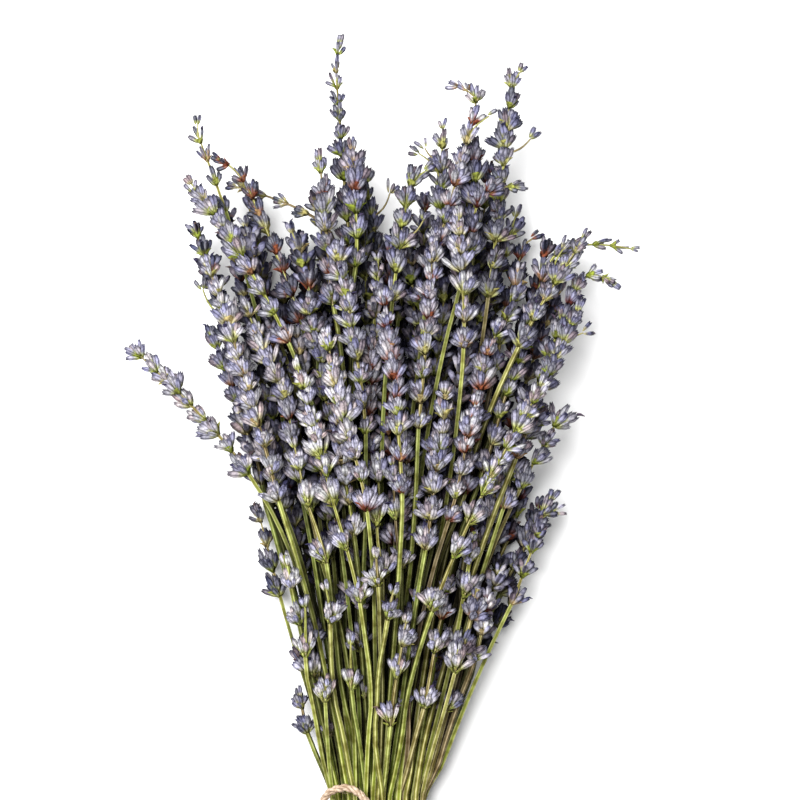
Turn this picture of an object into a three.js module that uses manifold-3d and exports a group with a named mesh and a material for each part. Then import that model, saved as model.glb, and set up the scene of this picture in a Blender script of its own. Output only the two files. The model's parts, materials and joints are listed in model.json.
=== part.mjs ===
// A bunch of dried lavender, tied with jute twine and lying on a table.
//
// Millimetres, +Z up. The origin is on the table under the tie, +Y runs from the cut ends
// to the flower tips, and +X is to the right when the bunch is seen from above.
//
// Each flower head is one solid: a thin axis that carries whorls of calyces. The green stems
// are fused in six groups where the twine presses them together. The tie is one solid.
// A stem's path is drawn from the tie to its flower head, and all paths are then settled,
// so that no head or stem stands in another one.

import * as THREE from "three";
import { mergeVertices } from "three/addons/utils/BufferGeometryUtils.js";
import Module from "manifold-3d";

const wasm = await Module();
wasm.setup();

// The bunch: lengths and heights that drive everything else.
const CUT_END_Y = -110;
const CUT_END_SPREAD = 9;
const TIE_HALF_RUN = 7;
const TIE_MIDDLE_Z = 11.15;
const TIE_HALF_HEIGHT = 7;
const HEADS_MIDDLE_Z = 29;
const HEADS_HALF_HEIGHT = 24;
const FAN_OPEN_Y = 150;
const FAN_ORIGIN_Y = -70;
const FAN_SORT_Y = 40;
const FAN_SLOPE = 0.34;
const CUT_FLARE = 1.4;
const CUT_STRAY = 0.7;

// How a stem's path bends: shares of its mean slope at the tie, at its head and at its tip.
const SLOPE_AT_TIE = 0.6;
const HEAD_LEAN_AT_BASE = 0.55;
const HEAD_LEAN_AT_TIP = 1.2;
const PATH_PAST_TIP = 1.4;

// The stems, square as a lavender stem is, with a corner on top.
const STEM_CORNER_RADIUS = 1.25;
const STEM_TOP_RADIUS = 0.95;
const STEM_STEP = 4;
const STEM_TOLERANCE = 0.4;
const BUD_LENGTH = 10;
const BUD_RADIUS = 1.3;
const BUD_BELLY = 0.3;
const HEAD_GAP = 0.3;

// The pack of stems under the twine: how many stand in each column, from left to right.
const GROUP_NAMES = ["far_left", "left", "middle_left", "middle_right", "right", "far_right"];
const COLUMN_COUNTS = [3, 4, 5, 6, 7, 8, 8, 7, 6, 5, 5, 3];
const COLUMN_PAIR_PITCH = 5.8;
const COLUMN_HALF_STEP = 1.1;
const ROW_PITCH = 1.9;
const LINK_SHIFT = 0.45;

// The flower heads.
const AXIS_STEP = 6;
const AXIS_RADIUS = 1.15;
const AXIS_TIP_RADIUS = 0.6;
const WHORL_PITCH = 10.8;
const WHORL_SPREAD_POWER = 1.12;
const LAST_WHORL_BELOW_TIP = 7.6;
const CALYCES_PER_WHORL = 3;
const ROOT_HEIGHT = 2.2;
const ROOT_HEIGHT_TIP_SHARE = 0.7;
const CALYX_LENGTH = 11.8;
const CALYX_TIP_SHARE = 0.74;
const CALYX_HALF_WIDTH = 2.8;
const CALYX_KEEL = 2.1;
const CALYX_BACK = 0.8;
const CALYX_BELLY = 0.52;
const LOW_SPREAD_DEG = 34;
const HIGH_SPREAD_DEG = 25;
const LEAST_SPREAD_DEG = 20;
const TAIL_SHARE = 0.62;
const TAIL_REACH = 0.6;
const TAIL_STEPS = 5;
const CALYX_DRIFT = 0.14;
const NEIGHBOUR_REACH = 6;
const OWN_AXIS_ROOMS = [
  [0.6, 1.25],
  [1, 1.8],
];

// Settling: the room that each stem and head asks for at a station.
const STATION = 12;
const SETTLE_ROUNDS = 160;
const STEM_ROOM_AT_TIE = 1.35;
const STEM_ROOM = 1.6;
const STEM_OPEN_Y = 60;
const HEAD_ROOM = 5.8;
const HEAD_TIP_ROOM = 3.6;
const HEAD_TAPER_FROM = 0.6;
const HEAD_FLOOR = 5.6;
const STEM_FLOOR = 1.6;
const PUSH = 0.45;
const PULL = 0.03;
const SMOOTH = 0.3;

// The twine.
const TWINE_RADIUS = 1.5;
const TWINE_SIDES = 5;
const TWINE_TURNS = 3;
const TIE_INNER_X = 17.8;
const TIE_INNER_Z = 8.5;
const TIE_STEPS = 24;
const TURN_HEIGHT = 2.8;
const TURN_FLAT = 1.65;
const TURN_GROOVE = 1.95;

// The bow on top of the winding: [x, y, z] along its two loops and two loose ends.
const KNOT = [-1.5, 1, 23.8];
const KNOT_HALF_SIZE = [3.75, 3, 2.4];
const BOW = [
  {
    through: [[-4, 9, 25.4], [-10, 13.4, 25.2], [-17, 11.5, 23.4], [-19, 6, 22.4], [-12, 2, 24.4], KNOT],
    steps: 12,
  },
  {
    through: [[4, 5.5, 25.4], [12, 6.5, 25], [18.5, 2, 22.4], [14, -3, 23.6], [6, -2, 24.8], KNOT],
    steps: 11,
  },
  { through: [[-4, -6, 24.6], [-7, -14, 22.6], [-12, -26, 21.6]], steps: 4 },
  { through: [[1, -6, 24.6], [5, -14, 22.8], [7, -30, 22.4]], steps: 4 },
];

const LAVENDER = 0x8d8ba6;
const STEM_GREEN = 0x8f9a4e;
const JUTE = 0xcdae92;

// The heads that show from above, each as [base x, base y, tip x, tip y, depth], with the
// base at its lowest whorl. Depth runs from -1, on the table, to 1, on top. Some go on past
// the tip as a thin bent tail, given as its run in x and y, and how far it runs straight on.
const SHOWN_HEADS = [
  [-36, 124, -84, 168.5, 0.15],
  [-26, 170, -65, 227.5, 0.5],
  [-51.5, 216, -63, 242, -0.1, 0.5, 7.5],
  [-24.5, 177, -43.5, 222, -0.1, -14, 13.5],
  [-9, 188, -15.5, 206, -0.3, -38, 20, 0.25],
  [-32, 115, -58.5, 199.5, 0.75],
  [-40, 124, -59, 176, -0.45],
  [-35.5, 80, -41, 111.5, -0.6],
  [-21.5, 31.5, -26.5, 47.5, -0.5],
  [-9.5, 185, -14, 260.5, 0.2, 2, 16.5],
  [-12, 183, -19.5, 236.5, 0.55],
  [2, 182, -4.5, 231.5, -0.5],
  [4, 184, 10.5, 222, 0.5, 9, 9, 0.4],
  [18, 184, 34, 250, 0.4, -9.5, 9.5],
  [22.5, 198, 23, 248, 0.0],
  [40, 186, 46.5, 256.5, 0.1, 5.5, 10],
  [26, 190, 33.5, 213.5, 0.65, 17.5, 10],
  [34, 186, 40, 234, -0.5],
  [45, 183, 52.5, 203, -0.6, 7, 5],
  [50, 173, 60, 196.5, -0.2, 32, 6, 0.4],
  [45.5, 168.5, 72, 208.5, 0.45],
  [52, 146, 69, 187.5, 0.1, 15.5, 1.5, 0.8],
  [46, 130, 70, 184, 0.7],
  [46.5, 119, 65, 145.5, 0.2],
  [42, 81.5, 63.5, 117.5, -0.35],
  [28.5, 60, 52, 79.5, -0.6],
  [16.5, 76.5, 58, 157.5, 0.95],
  [16, 98, 24, 156, 0.9],
  [10, 118, 2, 187.5, 1.0],
  [15.5, 140, 20, 206, 0.9],
  [31, 168, 28, 216, 0.8],
  [-1, 111.5, -16.5, 174.5, 0.85],
  [-5, 138, -15, 204, 0.8],
  [-5.5, 79.5, -27.5, 164, 0.95],
  [-13, 93, -31, 132, 0.45],
  [11.5, 91, 6.5, 131, 0.9],
  [14.5, 41, 24.5, 88, 0.55],
  [6, 35.5, 10, 76, 0.95],
  [-5, 48, -6.5, 68, 0.9],
  [-2, 73, -5, 108, 0.35],
];

// The rows of heads under them, from the table up: [count, depth, left and right end of the
// row as shares of the fan, y of the bases, length].
const HIDDEN_ROWS = [
  [7, -0.97, -0.8, 1, 118, 62],
  [6, -0.15, -0.8, 0.75, 98, 66],
];
const HIDDEN_BASE_DRIFT = 24;
const HIDDEN_DEPTH_DRIFT = 0.1;
const HIDDEN_SIDE_DRIFT = 0.4;

// Stems that lost their flowers or never opened end in a small bud: [tip x, tip y, depth].
const BARE_STEMS = [
  [-34, 96, 0.9],
  [-26, 74, 0.5],
  [-20, 118, 0.3],
  [-14, 66, -0.3],
  [-8, 104, 0.4],
  [-4, 88, 0.5],
  [4, 70, -0.2],
  [12, 112, 0.3],
  [14, 84, 0.6],
  [24, 66, -0.2],
  [36, 104, 0.6],
  [46, 124, 0.3],
  [38, 84, 0.8],
  [-30, 128, -0.2],
];

// A small seeded generator, so that every run draws the same numbers.
function makeDraw(seed) {
  let state = seed >>> 0;
  return () => {
    state = (Math.imul(state, 1664525) + 1013904223) >>> 0;
    return state / 4294967296;
  };
}

const clamp01 = (t) => Math.min(1, Math.max(0, t));
const smoothStep = (t) => clamp01(t) ** 2 * (3 - 2 * clamp01(t));
const mix = (a, b, t) => a + (b - a) * t;

// A cubic from value a with slope ma to value b with slope mb over a run, t from 0 to 1.
function hermite(a, ma, b, mb, run, t) {
  const t2 = t * t;
  const t3 = t2 * t;
  return (
    (2 * t3 - 3 * t2 + 1) * a +
    (t3 - 2 * t2 + t) * run * ma +
    (3 * t2 - 2 * t3) * b +
    (t3 - t2) * run * mb
  );
}

// The middle height and half height of the bunch at y above the tie.
function layerZ(y, depth) {
  const open = smoothStep(y / FAN_OPEN_Y);
  return (
    mix(TIE_MIDDLE_Z, HEADS_MIDDLE_Z, open) +
    depth * mix(TIE_HALF_HEIGHT, HEADS_HALF_HEIGHT, open)
  );
}

// The heads of the hidden rows, evenly over the fan with a little drift.
function hiddenHeads(draw) {
  const heads = [];
  for (const [count, depth, left, right, baseY, length] of HIDDEN_ROWS) {
    for (let i = 0; i < count; i++) {
      const place = (i + 0.5 + HIDDEN_SIDE_DRIFT * (draw() - 0.5)) / count;
      const slope = FAN_SLOPE * mix(left, right, place);
      const y = baseY + HIDDEN_BASE_DRIFT * (draw() - 0.5);
      const x = slope * y;
      const tipX = x + HEAD_LEAN_AT_TIP * slope * length;
      heads.push([x, y, tipX, y + length, depth + HIDDEN_DEPTH_DRIFT * (draw() - 0.5)]);
    }
  }
  return heads;
}

// All stems as plain records, heads first.
function listStems() {
  const draw = makeDraw(7);
  const flowering = [...SHOWN_HEADS, ...hiddenHeads(draw)].map(
    ([bx, by, tx, ty, depth, ...tail], i) => ({
      base: [bx, by],
      tip: [tx, ty],
      depth,
      tail: tail.length ? tail : null,
      head: i,
    }),
  );
  const bare = BARE_STEMS.map(([tx, ty, depth]) => ({
    base: [tx, ty],
    tip: [tx, ty],
    depth,
    tail: null,
    head: -1,
  }));
  const stems = [...flowering, ...bare];
  for (const stem of stems) {
    stem.cutY = CUT_END_Y + CUT_END_SPREAD * draw();
    stem.turn = 2 * Math.PI * draw();
    stem.stray = [CUT_STRAY * (2 * draw() - 1), CUT_STRAY * (2 * draw() - 1)];
  }
  return stems;
}

// Gives each stem its place under the twine: columns by where it fans to, rows by its depth.
// The columns go in pairs, one pair for each group of fused stems, and one row of a pair
// leans across to hold the two columns together.
function placeInTie(stems) {
  const fan = (s) => (s.base[0] * (FAN_SORT_Y - FAN_ORIGIN_Y)) / (s.base[1] - FAN_ORIGIN_Y);
  const order = [...stems].sort((a, b) => fan(a) - fan(b));
  let next = 0;
  COLUMN_COUNTS.forEach((count, column) => {
    const pair = Math.floor(column / 2);
    const side = column % 2 ? 1 : -1;
    const middle = (pair - (GROUP_NAMES.length - 1) / 2) * COLUMN_PAIR_PITCH;
    const members = order.slice(next, next + count).sort((a, b) => a.depth - b.depth);
    const partner = COLUMN_COUNTS[column - side];
    const linkRow = Math.floor((Math.min(count, partner) - 1) / 2);
    members.forEach((stem, row) => {
      const lean = row === linkRow && (count + partner) % 2 === 1 ? LINK_SHIFT : 0;
      stem.pair = pair;
      stem.tieX = middle + side * (COLUMN_HALF_STEP - lean);
      stem.tieZ = TIE_MIDDLE_Z + (row - (count - 1) / 2) * ROW_PITCH;
      stem.cutX = CUT_FLARE * (middle + (side * COLUMN_PAIR_PITCH) / 4) + stem.stray[0];
      stem.cutZ = TIE_MIDDLE_Z + CUT_FLARE * (stem.tieZ - TIE_MIDDLE_Z) + stem.stray[1];
    });
    next += count;
  });
}

// Where a stem would like to be at y, before it is settled.
function wantedPoint(stem, y) {
  const [bx, by] = stem.base;
  const [tx, ty] = stem.tip;
  const run = by - TIE_HALF_RUN;
  const rise = (bx - stem.tieX) / run;
  const lean = ty > by ? (tx - bx) / (ty - by) : rise;
  const slopeAtBase = mix(rise, lean, HEAD_LEAN_AT_BASE);
  if (y < by) {
    const t = (y - TIE_HALF_RUN) / run;
    const x = hermite(stem.tieX, SLOPE_AT_TIE * rise, bx, slopeAtBase, run, t);
    return [x, mix(stem.tieZ, layerZ(y, stem.depth), smoothStep(t))];
  }
  const length = Math.max(ty - by, 1);
  const t = Math.min((y - by) / length, PATH_PAST_TIP);
  const x = hermite(bx, slopeAtBase, tx, HEAD_LEAN_AT_TIP * lean, length, t);
  return [x, layerZ(y, stem.depth)];
}

const stationY = (k) => TIE_HALF_RUN + k * STATION;

// The room that a stem asks for round its path at y.
function roomAt(stem, y) {
  if (stem.head < 0 || y < stem.base[1] - STATION / 2) {
    return mix(STEM_ROOM_AT_TIE, STEM_ROOM, clamp01(y / STEM_OPEN_Y));
  }
  const share = clamp01((y - stem.base[1]) / (stem.tip[1] - stem.base[1]));
  return mix(HEAD_ROOM, HEAD_TIP_ROOM, smoothStep((share - HEAD_TAPER_FROM) / (1 - HEAD_TAPER_FROM)));
}

// Pushes paths apart wherever they stand in each other, station by station, while each one
// is pulled to where it would like to be and kept smooth.
function settle(stems) {
  for (const stem of stems) {
    stem.last = Math.ceil((stem.tip[1] - TIE_HALF_RUN) / STATION) + 1;
    stem.wanted = [];
    for (let k = 0; k <= stem.last; k++) stem.wanted.push(wantedPoint(stem, stationY(k)));
    stem.path = stem.wanted.map((p) => [...p]);
  }
  const stations = Math.max(...stems.map((s) => s.last));
  for (let round = 0; round < SETTLE_ROUNDS; round++) {
    for (let k = 1; k <= stations; k++) {
      const here = stems.filter((s) => s.last >= k);
      const rooms = here.map((s) => roomAt(s, stationY(k)));
      const moves = here.map(() => [0, 0]);
      for (let i = 0; i < here.length; i++) {
        for (let j = i + 1; j < here.length; j++) {
          const dx = here[j].path[k][0] - here[i].path[k][0];
          const dz = here[j].path[k][1] - here[i].path[k][1];
          const gap = Math.sqrt(dx * dx + dz * dz) + 1e-9;
          const short = rooms[i] + rooms[j] - gap;
          if (short <= 0) continue;
          const share = (PUSH * short) / gap;
          moves[i][0] -= share * dx;
          moves[i][1] -= share * dz;
          moves[j][0] += share * dx;
          moves[j][1] += share * dz;
        }
      }
      here.forEach((stem, i) => {
        for (let axis = 0; axis < 2; axis++) {
          const p = stem.path[k][axis];
          const ahead = stem.path[Math.min(k + 1, stem.last)][axis];
          const bend = k < stem.last ? (stem.path[k - 1][axis] + ahead) / 2 - p : 0;
          const pull = stem.wanted[k][axis] - p;
          stem.path[k][axis] = p + moves[i][axis] + SMOOTH * bend + PULL * pull;
        }
        const floor = rooms[i] > STEM_ROOM ? HEAD_FLOOR : STEM_FLOOR;
        stem.path[k][1] = Math.max(stem.path[k][1], floor);
      });
    }
  }
}

// The settled path at y, from the cut end to the tip.
function pathPoint(stem, y) {
  if (y <= TIE_HALF_RUN) {
    const below = clamp01((-y - TIE_HALF_RUN) / (-CUT_END_Y - TIE_HALF_RUN));
    return new THREE.Vector3(
      mix(stem.tieX, stem.cutX, below),
      y,
      mix(stem.tieZ, stem.cutZ, below),
    );
  }
  const along = (y - TIE_HALF_RUN) / STATION;
  const k = Math.min(Math.floor(along), stem.last - 1);
  const t = along - k;
  const at = (i, axis) => stem.path[Math.min(Math.max(i, 0), stem.last)][axis];
  const [x, z] = [0, 1].map((axis) => {
    const slope = (i) => (at(i + 1, axis) - at(i - 1, axis)) / 2;
    return hermite(at(k, axis), slope(k), at(k + 1, axis), slope(k + 1), 1, t);
  });
  return new THREE.Vector3(x, y, z);
}

function stemRadius(stem, y) {
  return mix(STEM_CORNER_RADIUS, STEM_TOP_RADIUS, clamp01(y / stem.base[1]));
}

// A head's axis from its base to its tip, and on round its tail if it has one.
function headAxis(stem) {
  const [, by] = stem.base;
  const [, ty] = stem.tip;
  const points = [];
  const steps = Math.max(2, Math.round((ty - by) / AXIS_STEP));
  for (let i = 0; i <= steps; i++) points.push(pathPoint(stem, mix(by, ty, i / steps)));
  if (stem.tail) {
    const tip = points[points.length - 1];
    const along = tip.clone().sub(points[points.length - 2]).normalize();
    const [tailX, tailY, reachShare = TAIL_REACH] = stem.tail;
    const end = tip.clone().add(new THREE.Vector3(tailX, tailY, 0));
    const reach = tip.distanceTo(end) * reachShare;
    const bend = new THREE.QuadraticBezierCurve3(tip, along.multiplyScalar(reach).add(tip), end);
    points.push(...bend.getPoints(TAIL_STEPS).slice(1));
  }
  return new THREE.CatmullRomCurve3(points, false, "centripetal");
}

// Left and up across a direction, for rings that stand square to it and run round it.
function acrossFrame(along) {
  const left = new THREE.Vector3(0, 0, 1).cross(along).normalize();
  const up = new THREE.Vector3().crossVectors(along, left).normalize();
  return { left, up };
}

function spoke({ left, up }, angle) {
  return left.clone().multiplyScalar(Math.cos(angle)).addScaledVector(up, Math.sin(angle));
}

// Collects vertices and faces of one closed solid. Nothing reaches below the table.
class Shell {
  constructor() {
    this.points = [];
    this.faces = [];
  }

  add(p) {
    this.points.push(p.x, p.y, Math.max(p.z, 0));
    return this.points.length / 3 - 1;
  }

  ring(centre, frame, radius, turn, sides) {
    const made = [];
    for (let i = 0; i < sides; i++) {
      const out = spoke(frame, turn + (2 * Math.PI * i) / sides);
      made.push(this.add(centre.clone().addScaledVector(out, radius)));
    }
    return made;
  }

  face(a, b, c) {
    this.faces.push(a, b, c);
  }

  quad(a, b, c, d) {
    this.face(a, b, c);
    this.face(a, c, d);
  }

  // Joins two rings of one size, corner to corner.
  bridge(low, high) {
    low.forEach((a, i) => {
      const j = (i + 1) % low.length;
      this.quad(a, low[j], high[j], high[i]);
    });
  }

  // Joins two rings when the upper one is turned by half a side.
  weave(low, high) {
    low.forEach((a, i) => {
      const j = (i + 1) % low.length;
      this.face(a, low[j], high[i]);
      this.face(high[i], low[j], high[j]);
    });
  }

  fan(ring, apex) {
    ring.forEach((a, i) => this.face(a, ring[(i + 1) % ring.length], apex));
  }

  close(ring) {
    for (let i = 1; i + 1 < ring.length; i++) this.face(ring[0], ring[i + 1], ring[i]);
  }

  geometry() {
    const g = new THREE.BufferGeometry();
    g.setAttribute("position", new THREE.Float32BufferAttribute(this.points, 3));
    g.setIndex(this.faces);
    return g;
  }
}

// The whorls of a head, from the lowest up, as distances along its axis. They stand a little
// closer towards the tip.
function whorlPlaces(length) {
  const run = length - LAST_WHORL_BELOW_TIP;
  const steps = Math.max(1, Math.round(run / WHORL_PITCH));
  const places = [];
  for (let i = steps; i >= 0; i--) places.push(run * (1 - (i / steps) ** WHORL_SPREAD_POWER));
  return places;
}

// Spheres along a calyx that stand for its bulk while the head is fitted among the others.
const BULK = [
  [0.18, 1.2],
  [0.4, 2.5],
  [0.6, 2.5],
  [0.8, 1.7],
  [0.97, 0.5],
];

const pointAlong = ({ root, along, length }, t) => root.clone().addScaledVector(along, t * length);

function calyxBulk(calyx) {
  const size = calyx.length / CALYX_LENGTH;
  return BULK.map(([t, r]) => ({ at: pointAlong(calyx, t), r: r * size }));
}

function distanceToSegment(p, a, b) {
  const ab = new THREE.Vector3().subVectors(b, a);
  const t = clamp01(new THREE.Vector3().subVectors(p, a).dot(ab) / ab.lengthSq());
  return p.distanceTo(a.clone().addScaledVector(ab, t));
}

// What stands in the way of a calyx: other stems and axes as rods, and calyces already
// placed. A rod that lies further off than the reach can't touch it.
class Neighbours {
  constructor() {
    this.rods = [];
    this.bulks = [];
  }

  addRod(owner, points, radius) {
    for (let i = 0; i + 1 < points.length; i++) {
      this.rods.push({ owner, a: points[i], b: points[i + 1], radius });
    }
  }

  clear(owner, bulk) {
    return bulk.every(
      ({ at, r }) =>
        this.rods.every(
          (rod) =>
            rod.owner === owner ||
            rod.a.distanceTo(at) > NEIGHBOUR_REACH + rod.a.distanceTo(rod.b) ||
            distanceToSegment(at, rod.a, rod.b) > rod.radius + r + HEAD_GAP,
        ) &&
        this.bulks.every(
          (b) => b.owner === owner || b.at.distanceTo(at) > b.r + r + HEAD_GAP,
        ),
    );
  }

  addBulk(owner, bulk) {
    for (const b of bulk) this.bulks.push({ owner, ...b });
  }
}

// Tries a calyx at its full spread, then closer to the axis and shorter, and gives up last.
const TRIES = [
  [1, 1],
  [0.8, 1],
  [1, 0.84],
  [0.6, 1],
  [0.6, 0.84],
  [1, 0.68],
  [0.6, 0.68],
  [1, 0.52],
  [0.6, 0.52],
];

// Whether a calyx keeps off its own head's axis, which may bend towards it.
function isOffAxis(calyx) {
  return OWN_AXIS_ROOMS.every(([t, room]) => {
    const p = pointAlong(calyx, t);
    return calyx.axisPoints.every((q) => q.distanceTo(p) > room);
  });
}

function fitCalyx(owner, neighbours, place) {
  for (const [spreadShare, lengthShare] of TRIES) {
    const spread = Math.max(place.spread * spreadShare, LEAST_SPREAD_DEG);
    const angle = THREE.MathUtils.degToRad(spread);
    const along = place.axis
      .clone()
      .multiplyScalar(Math.cos(angle))
      .addScaledVector(place.out, Math.sin(angle));
    const calyx = { ...place, along, angle, length: place.length * lengthShare };
    const bulk = calyxBulk(calyx);
    if (isOffAxis(calyx) && neighbours.clear(owner, bulk)) {
      neighbours.addBulk(owner, bulk);
      return calyx;
    }
  }
  return null;
}

// One keeled calyx on a side of the axis, in place of that side's plain face.
function addCalyx(shell, calyx, [lowA, lowB, highB, highA]) {
  const size = calyx.length / CALYX_LENGTH;
  const side = new THREE.Vector3().crossVectors(calyx.axis, calyx.out);
  const outer = calyx.out
    .clone()
    .multiplyScalar(Math.cos(calyx.angle))
    .addScaledVector(calyx.axis, -Math.sin(calyx.angle));
  const belly = pointAlong(calyx, CALYX_BELLY);
  const back = belly.clone().addScaledVector(outer, -CALYX_BACK * size);
  const width = CALYX_HALF_WIDTH * size;
  const keel = shell.add(belly.clone().addScaledVector(outer, CALYX_KEEL * size));
  const left = shell.add(back.clone().addScaledVector(side, -width));
  const right = shell.add(back.clone().addScaledVector(side, width));
  const tip = shell.add(pointAlong(calyx, 1));
  shell.face(lowA, lowB, keel);
  shell.quad(lowB, highB, right, keel);
  shell.quad(highB, highA, left, right);
  shell.quad(highA, lowA, keel, left);
  shell.fan([keel, right, left], tip);
}

// One flower head: its axis with a whorl of calyces at each place, turned by half a side from
// whorl to whorl. The last whorl closes over the tip.
function headGeometry(stem, neighbours, draw) {
  const curve = headAxis(stem);
  const length = curve.getLength();
  const mainLength = stem.tail ? length - Math.hypot(stem.tail[0], stem.tail[1]) : length;
  const axisPoints = curve.getSpacedPoints(Math.round(length));
  const sides = CALYCES_PER_WHORL;
  const shell = new Shell();
  const frameAt = (d) => {
    const u = clamp01(d / length);
    const axis = curve.getTangentAt(u);
    return { at: curve.getPointAt(u), axis, ...acrossFrame(axis) };
  };
  const drift = () => 1 + CALYX_DRIFT * (2 * draw() - 1);
  let turn = stem.turn;
  let below = null;
  for (const place of whorlPlaces(length)) {
    const share = place / length;
    const thin = place > mainLength - WHORL_PITCH / 2 ? TAIL_SHARE : 1;
    const radius = mix(AXIS_RADIUS, AXIS_TIP_RADIUS, share);
    const start = frameAt(place + HEAD_GAP);
    const end = frameAt(place + HEAD_GAP + ROOT_HEIGHT * mix(1, ROOT_HEIGHT_TIP_SHARE, share));
    const low = shell.ring(start.at, start, radius, turn, sides);
    const high = shell.ring(end.at, end, radius, turn, sides);
    if (below) shell.weave(below, low);
    else shell.close(low);
    for (let k = 0; k < sides; k++) {
      const out = spoke(start, turn + (Math.PI / sides) * (2 * k + 1));
      const calyx = fitCalyx(stem, neighbours, {
        axis: start.axis,
        axisPoints,
        out,
        root: start.at.clone().lerp(end.at, 0.5).addScaledVector(out, radius / 2),
        spread: drift() * mix(LOW_SPREAD_DEG, HIGH_SPREAD_DEG, share),
        length: drift() * thin * CALYX_LENGTH * mix(1, CALYX_TIP_SHARE, smoothStep(share)),
      });
      const next = (k + 1) % sides;
      const corners = [low[k], low[next], high[next], high[k]];
      if (calyx) addCalyx(shell, calyx, corners);
      else shell.quad(...corners);
    }
    below = high;
    turn += Math.PI / sides;
  }
  shell.fan(below, shell.add(frameAt(length - LAST_WHORL_BELOW_TIP / 2).at));
  return shell.geometry();
}

// The y values of a stem's rings, from its cut end to just under its head. A ring stands
// only where leaving it out would move the stem by more than the tolerance.
function stemStops(stem) {
  const top = stem.base[1] - (stem.head < 0 ? BUD_LENGTH : 0);
  const stops = [stem.cutY, -TIE_HALF_RUN, TIE_HALF_RUN];
  let from = TIE_HALF_RUN;
  for (let to = from + 2 * STEM_STEP; to < top; to += STEM_STEP) {
    if (!isStraight(stem, from, to)) {
      from = to - STEM_STEP;
      stops.push(from);
    }
  }
  return [...stops, top];
}

function isStraight(stem, from, to) {
  const [start, end] = [pathPoint(stem, from), pathPoint(stem, to)];
  for (let y = from + STEM_STEP; y < to; y += STEM_STEP) {
    const chord = start.clone().lerp(end, (y - from) / (to - from));
    if (chord.distanceTo(pathPoint(stem, y)) > STEM_TOLERANCE) return false;
  }
  return true;
}

function stemFrame(stem, y) {
  const along = pathPoint(stem, y + STEM_STEP / 2).sub(pathPoint(stem, y - STEM_STEP / 2));
  return acrossFrame(along.normalize());
}

function stemGeometry(stem) {
  const shell = new Shell();
  const ringAt = (y, radius) => shell.ring(pathPoint(stem, y), stemFrame(stem, y), radius, 0, 4);
  const rings = stemStops(stem).map((y) => ringAt(y, stemRadius(stem, y)));
  const [, tipY] = stem.tip;
  if (stem.head < 0) rings.push(ringAt(tipY - (1 - BUD_BELLY) * BUD_LENGTH, BUD_RADIUS));
  shell.close(rings[0]);
  for (let i = 0; i + 1 < rings.length; i++) shell.bridge(rings[i], rings[i + 1]);
  const last = rings[rings.length - 1];
  if (stem.head < 0) shell.fan(last, shell.add(pathPoint(stem, tipY)));
  else shell.close([...last].reverse());
  return shell.geometry();
}

// A closed geometry as a manifold-3d solid.
function solidOf(geometry) {
  const bare = geometry.clone();
  bare.deleteAttribute("normal");
  bare.deleteAttribute("uv");
  const merged = mergeVertices(bare, 1e-4);
  return new wasm.Manifold(
    new wasm.Mesh({
      numProp: 3,
      vertProperties: new Float32Array(merged.attributes.position.array),
      triVerts: new Uint32Array(merged.index.array),
    }),
  );
}

function geometryOf(solid) {
  const mesh = solid.getMesh();
  const points = [];
  for (let i = 0; i < mesh.numVert; i++) {
    points.push(...mesh.vertProperties.subarray(i * mesh.numProp, i * mesh.numProp + 3));
  }
  const g = new THREE.BufferGeometry();
  g.setAttribute("position", new THREE.Float32BufferAttribute(points, 3));
  g.setIndex([...mesh.triVerts]);
  return g;
}

function fuse(geometries) {
  return geometryOf(wasm.Manifold.union(geometries.map(solidOf)));
}

// The wound part of the tie: its turns side by side, as one ring round the stems.
function windingGeometry() {
  const shell = new Shell();
  const halfRun = TWINE_TURNS * TWINE_RADIUS;
  const section = [[-halfRun, 0]];
  for (let turn = 1; turn <= TWINE_TURNS; turn++) {
    const end = 2 * turn * TWINE_RADIUS - halfRun;
    section.push([end - TWINE_RADIUS - TURN_FLAT / 2, TURN_HEIGHT]);
    section.push([end - TWINE_RADIUS + TURN_FLAT / 2, TURN_HEIGHT]);
    section.push([end, turn < TWINE_TURNS ? TURN_GROOVE : 0]);
  }
  const rings = [];
  for (let i = 0; i < TIE_STEPS; i++) {
    const angle = (2 * Math.PI * (i + 0.5)) / TIE_STEPS;
    const ring = section.map(([y, out]) => {
      const x = (TIE_INNER_X + out) * Math.cos(angle);
      const z = TIE_MIDDLE_Z + (TIE_INNER_Z + out) * Math.sin(angle);
      return shell.add(new THREE.Vector3(x, y, z));
    });
    rings.push(ring);
  }
  rings.forEach((ring, i) => shell.bridge(ring, rings[(i + 1) % rings.length]));
  return shell.geometry();
}

// Twine along a list of points, as a five-sided tube with closed ends.
function twineGeometry(points, steps) {
  const curve = new THREE.CatmullRomCurve3(points.map((p) => new THREE.Vector3(...p)));
  const outline = new THREE.Shape();
  for (let i = 0; i < TWINE_SIDES; i++) {
    const angle = (2 * Math.PI * i) / TWINE_SIDES;
    const [x, y] = [TWINE_RADIUS * Math.cos(angle), TWINE_RADIUS * Math.sin(angle)];
    if (i === 0) outline.moveTo(x, y);
    else outline.lineTo(x, y);
  }
  return new THREE.ExtrudeGeometry(outline, { steps, extrudePath: curve });
}

function tieGeometry() {
  const knot = new THREE.SphereGeometry(1, 8, 5);
  knot.scale(...KNOT_HALF_SIZE);
  knot.translate(...KNOT);
  const bow = BOW.map(({ through, steps }) => twineGeometry([KNOT, ...through], steps));
  return fuse([windingGeometry(), knot, ...bow]);
}

function namedMesh(name, geometry, color, roughness) {
  const material = new THREE.MeshStandardMaterial({ color, roughness, metalness: 0 });
  const mesh = new THREE.Mesh(geometry, material);
  mesh.name = name;
  return mesh;
}

const stems = listStems();
placeInTie(stems);
settle(stems);

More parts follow.
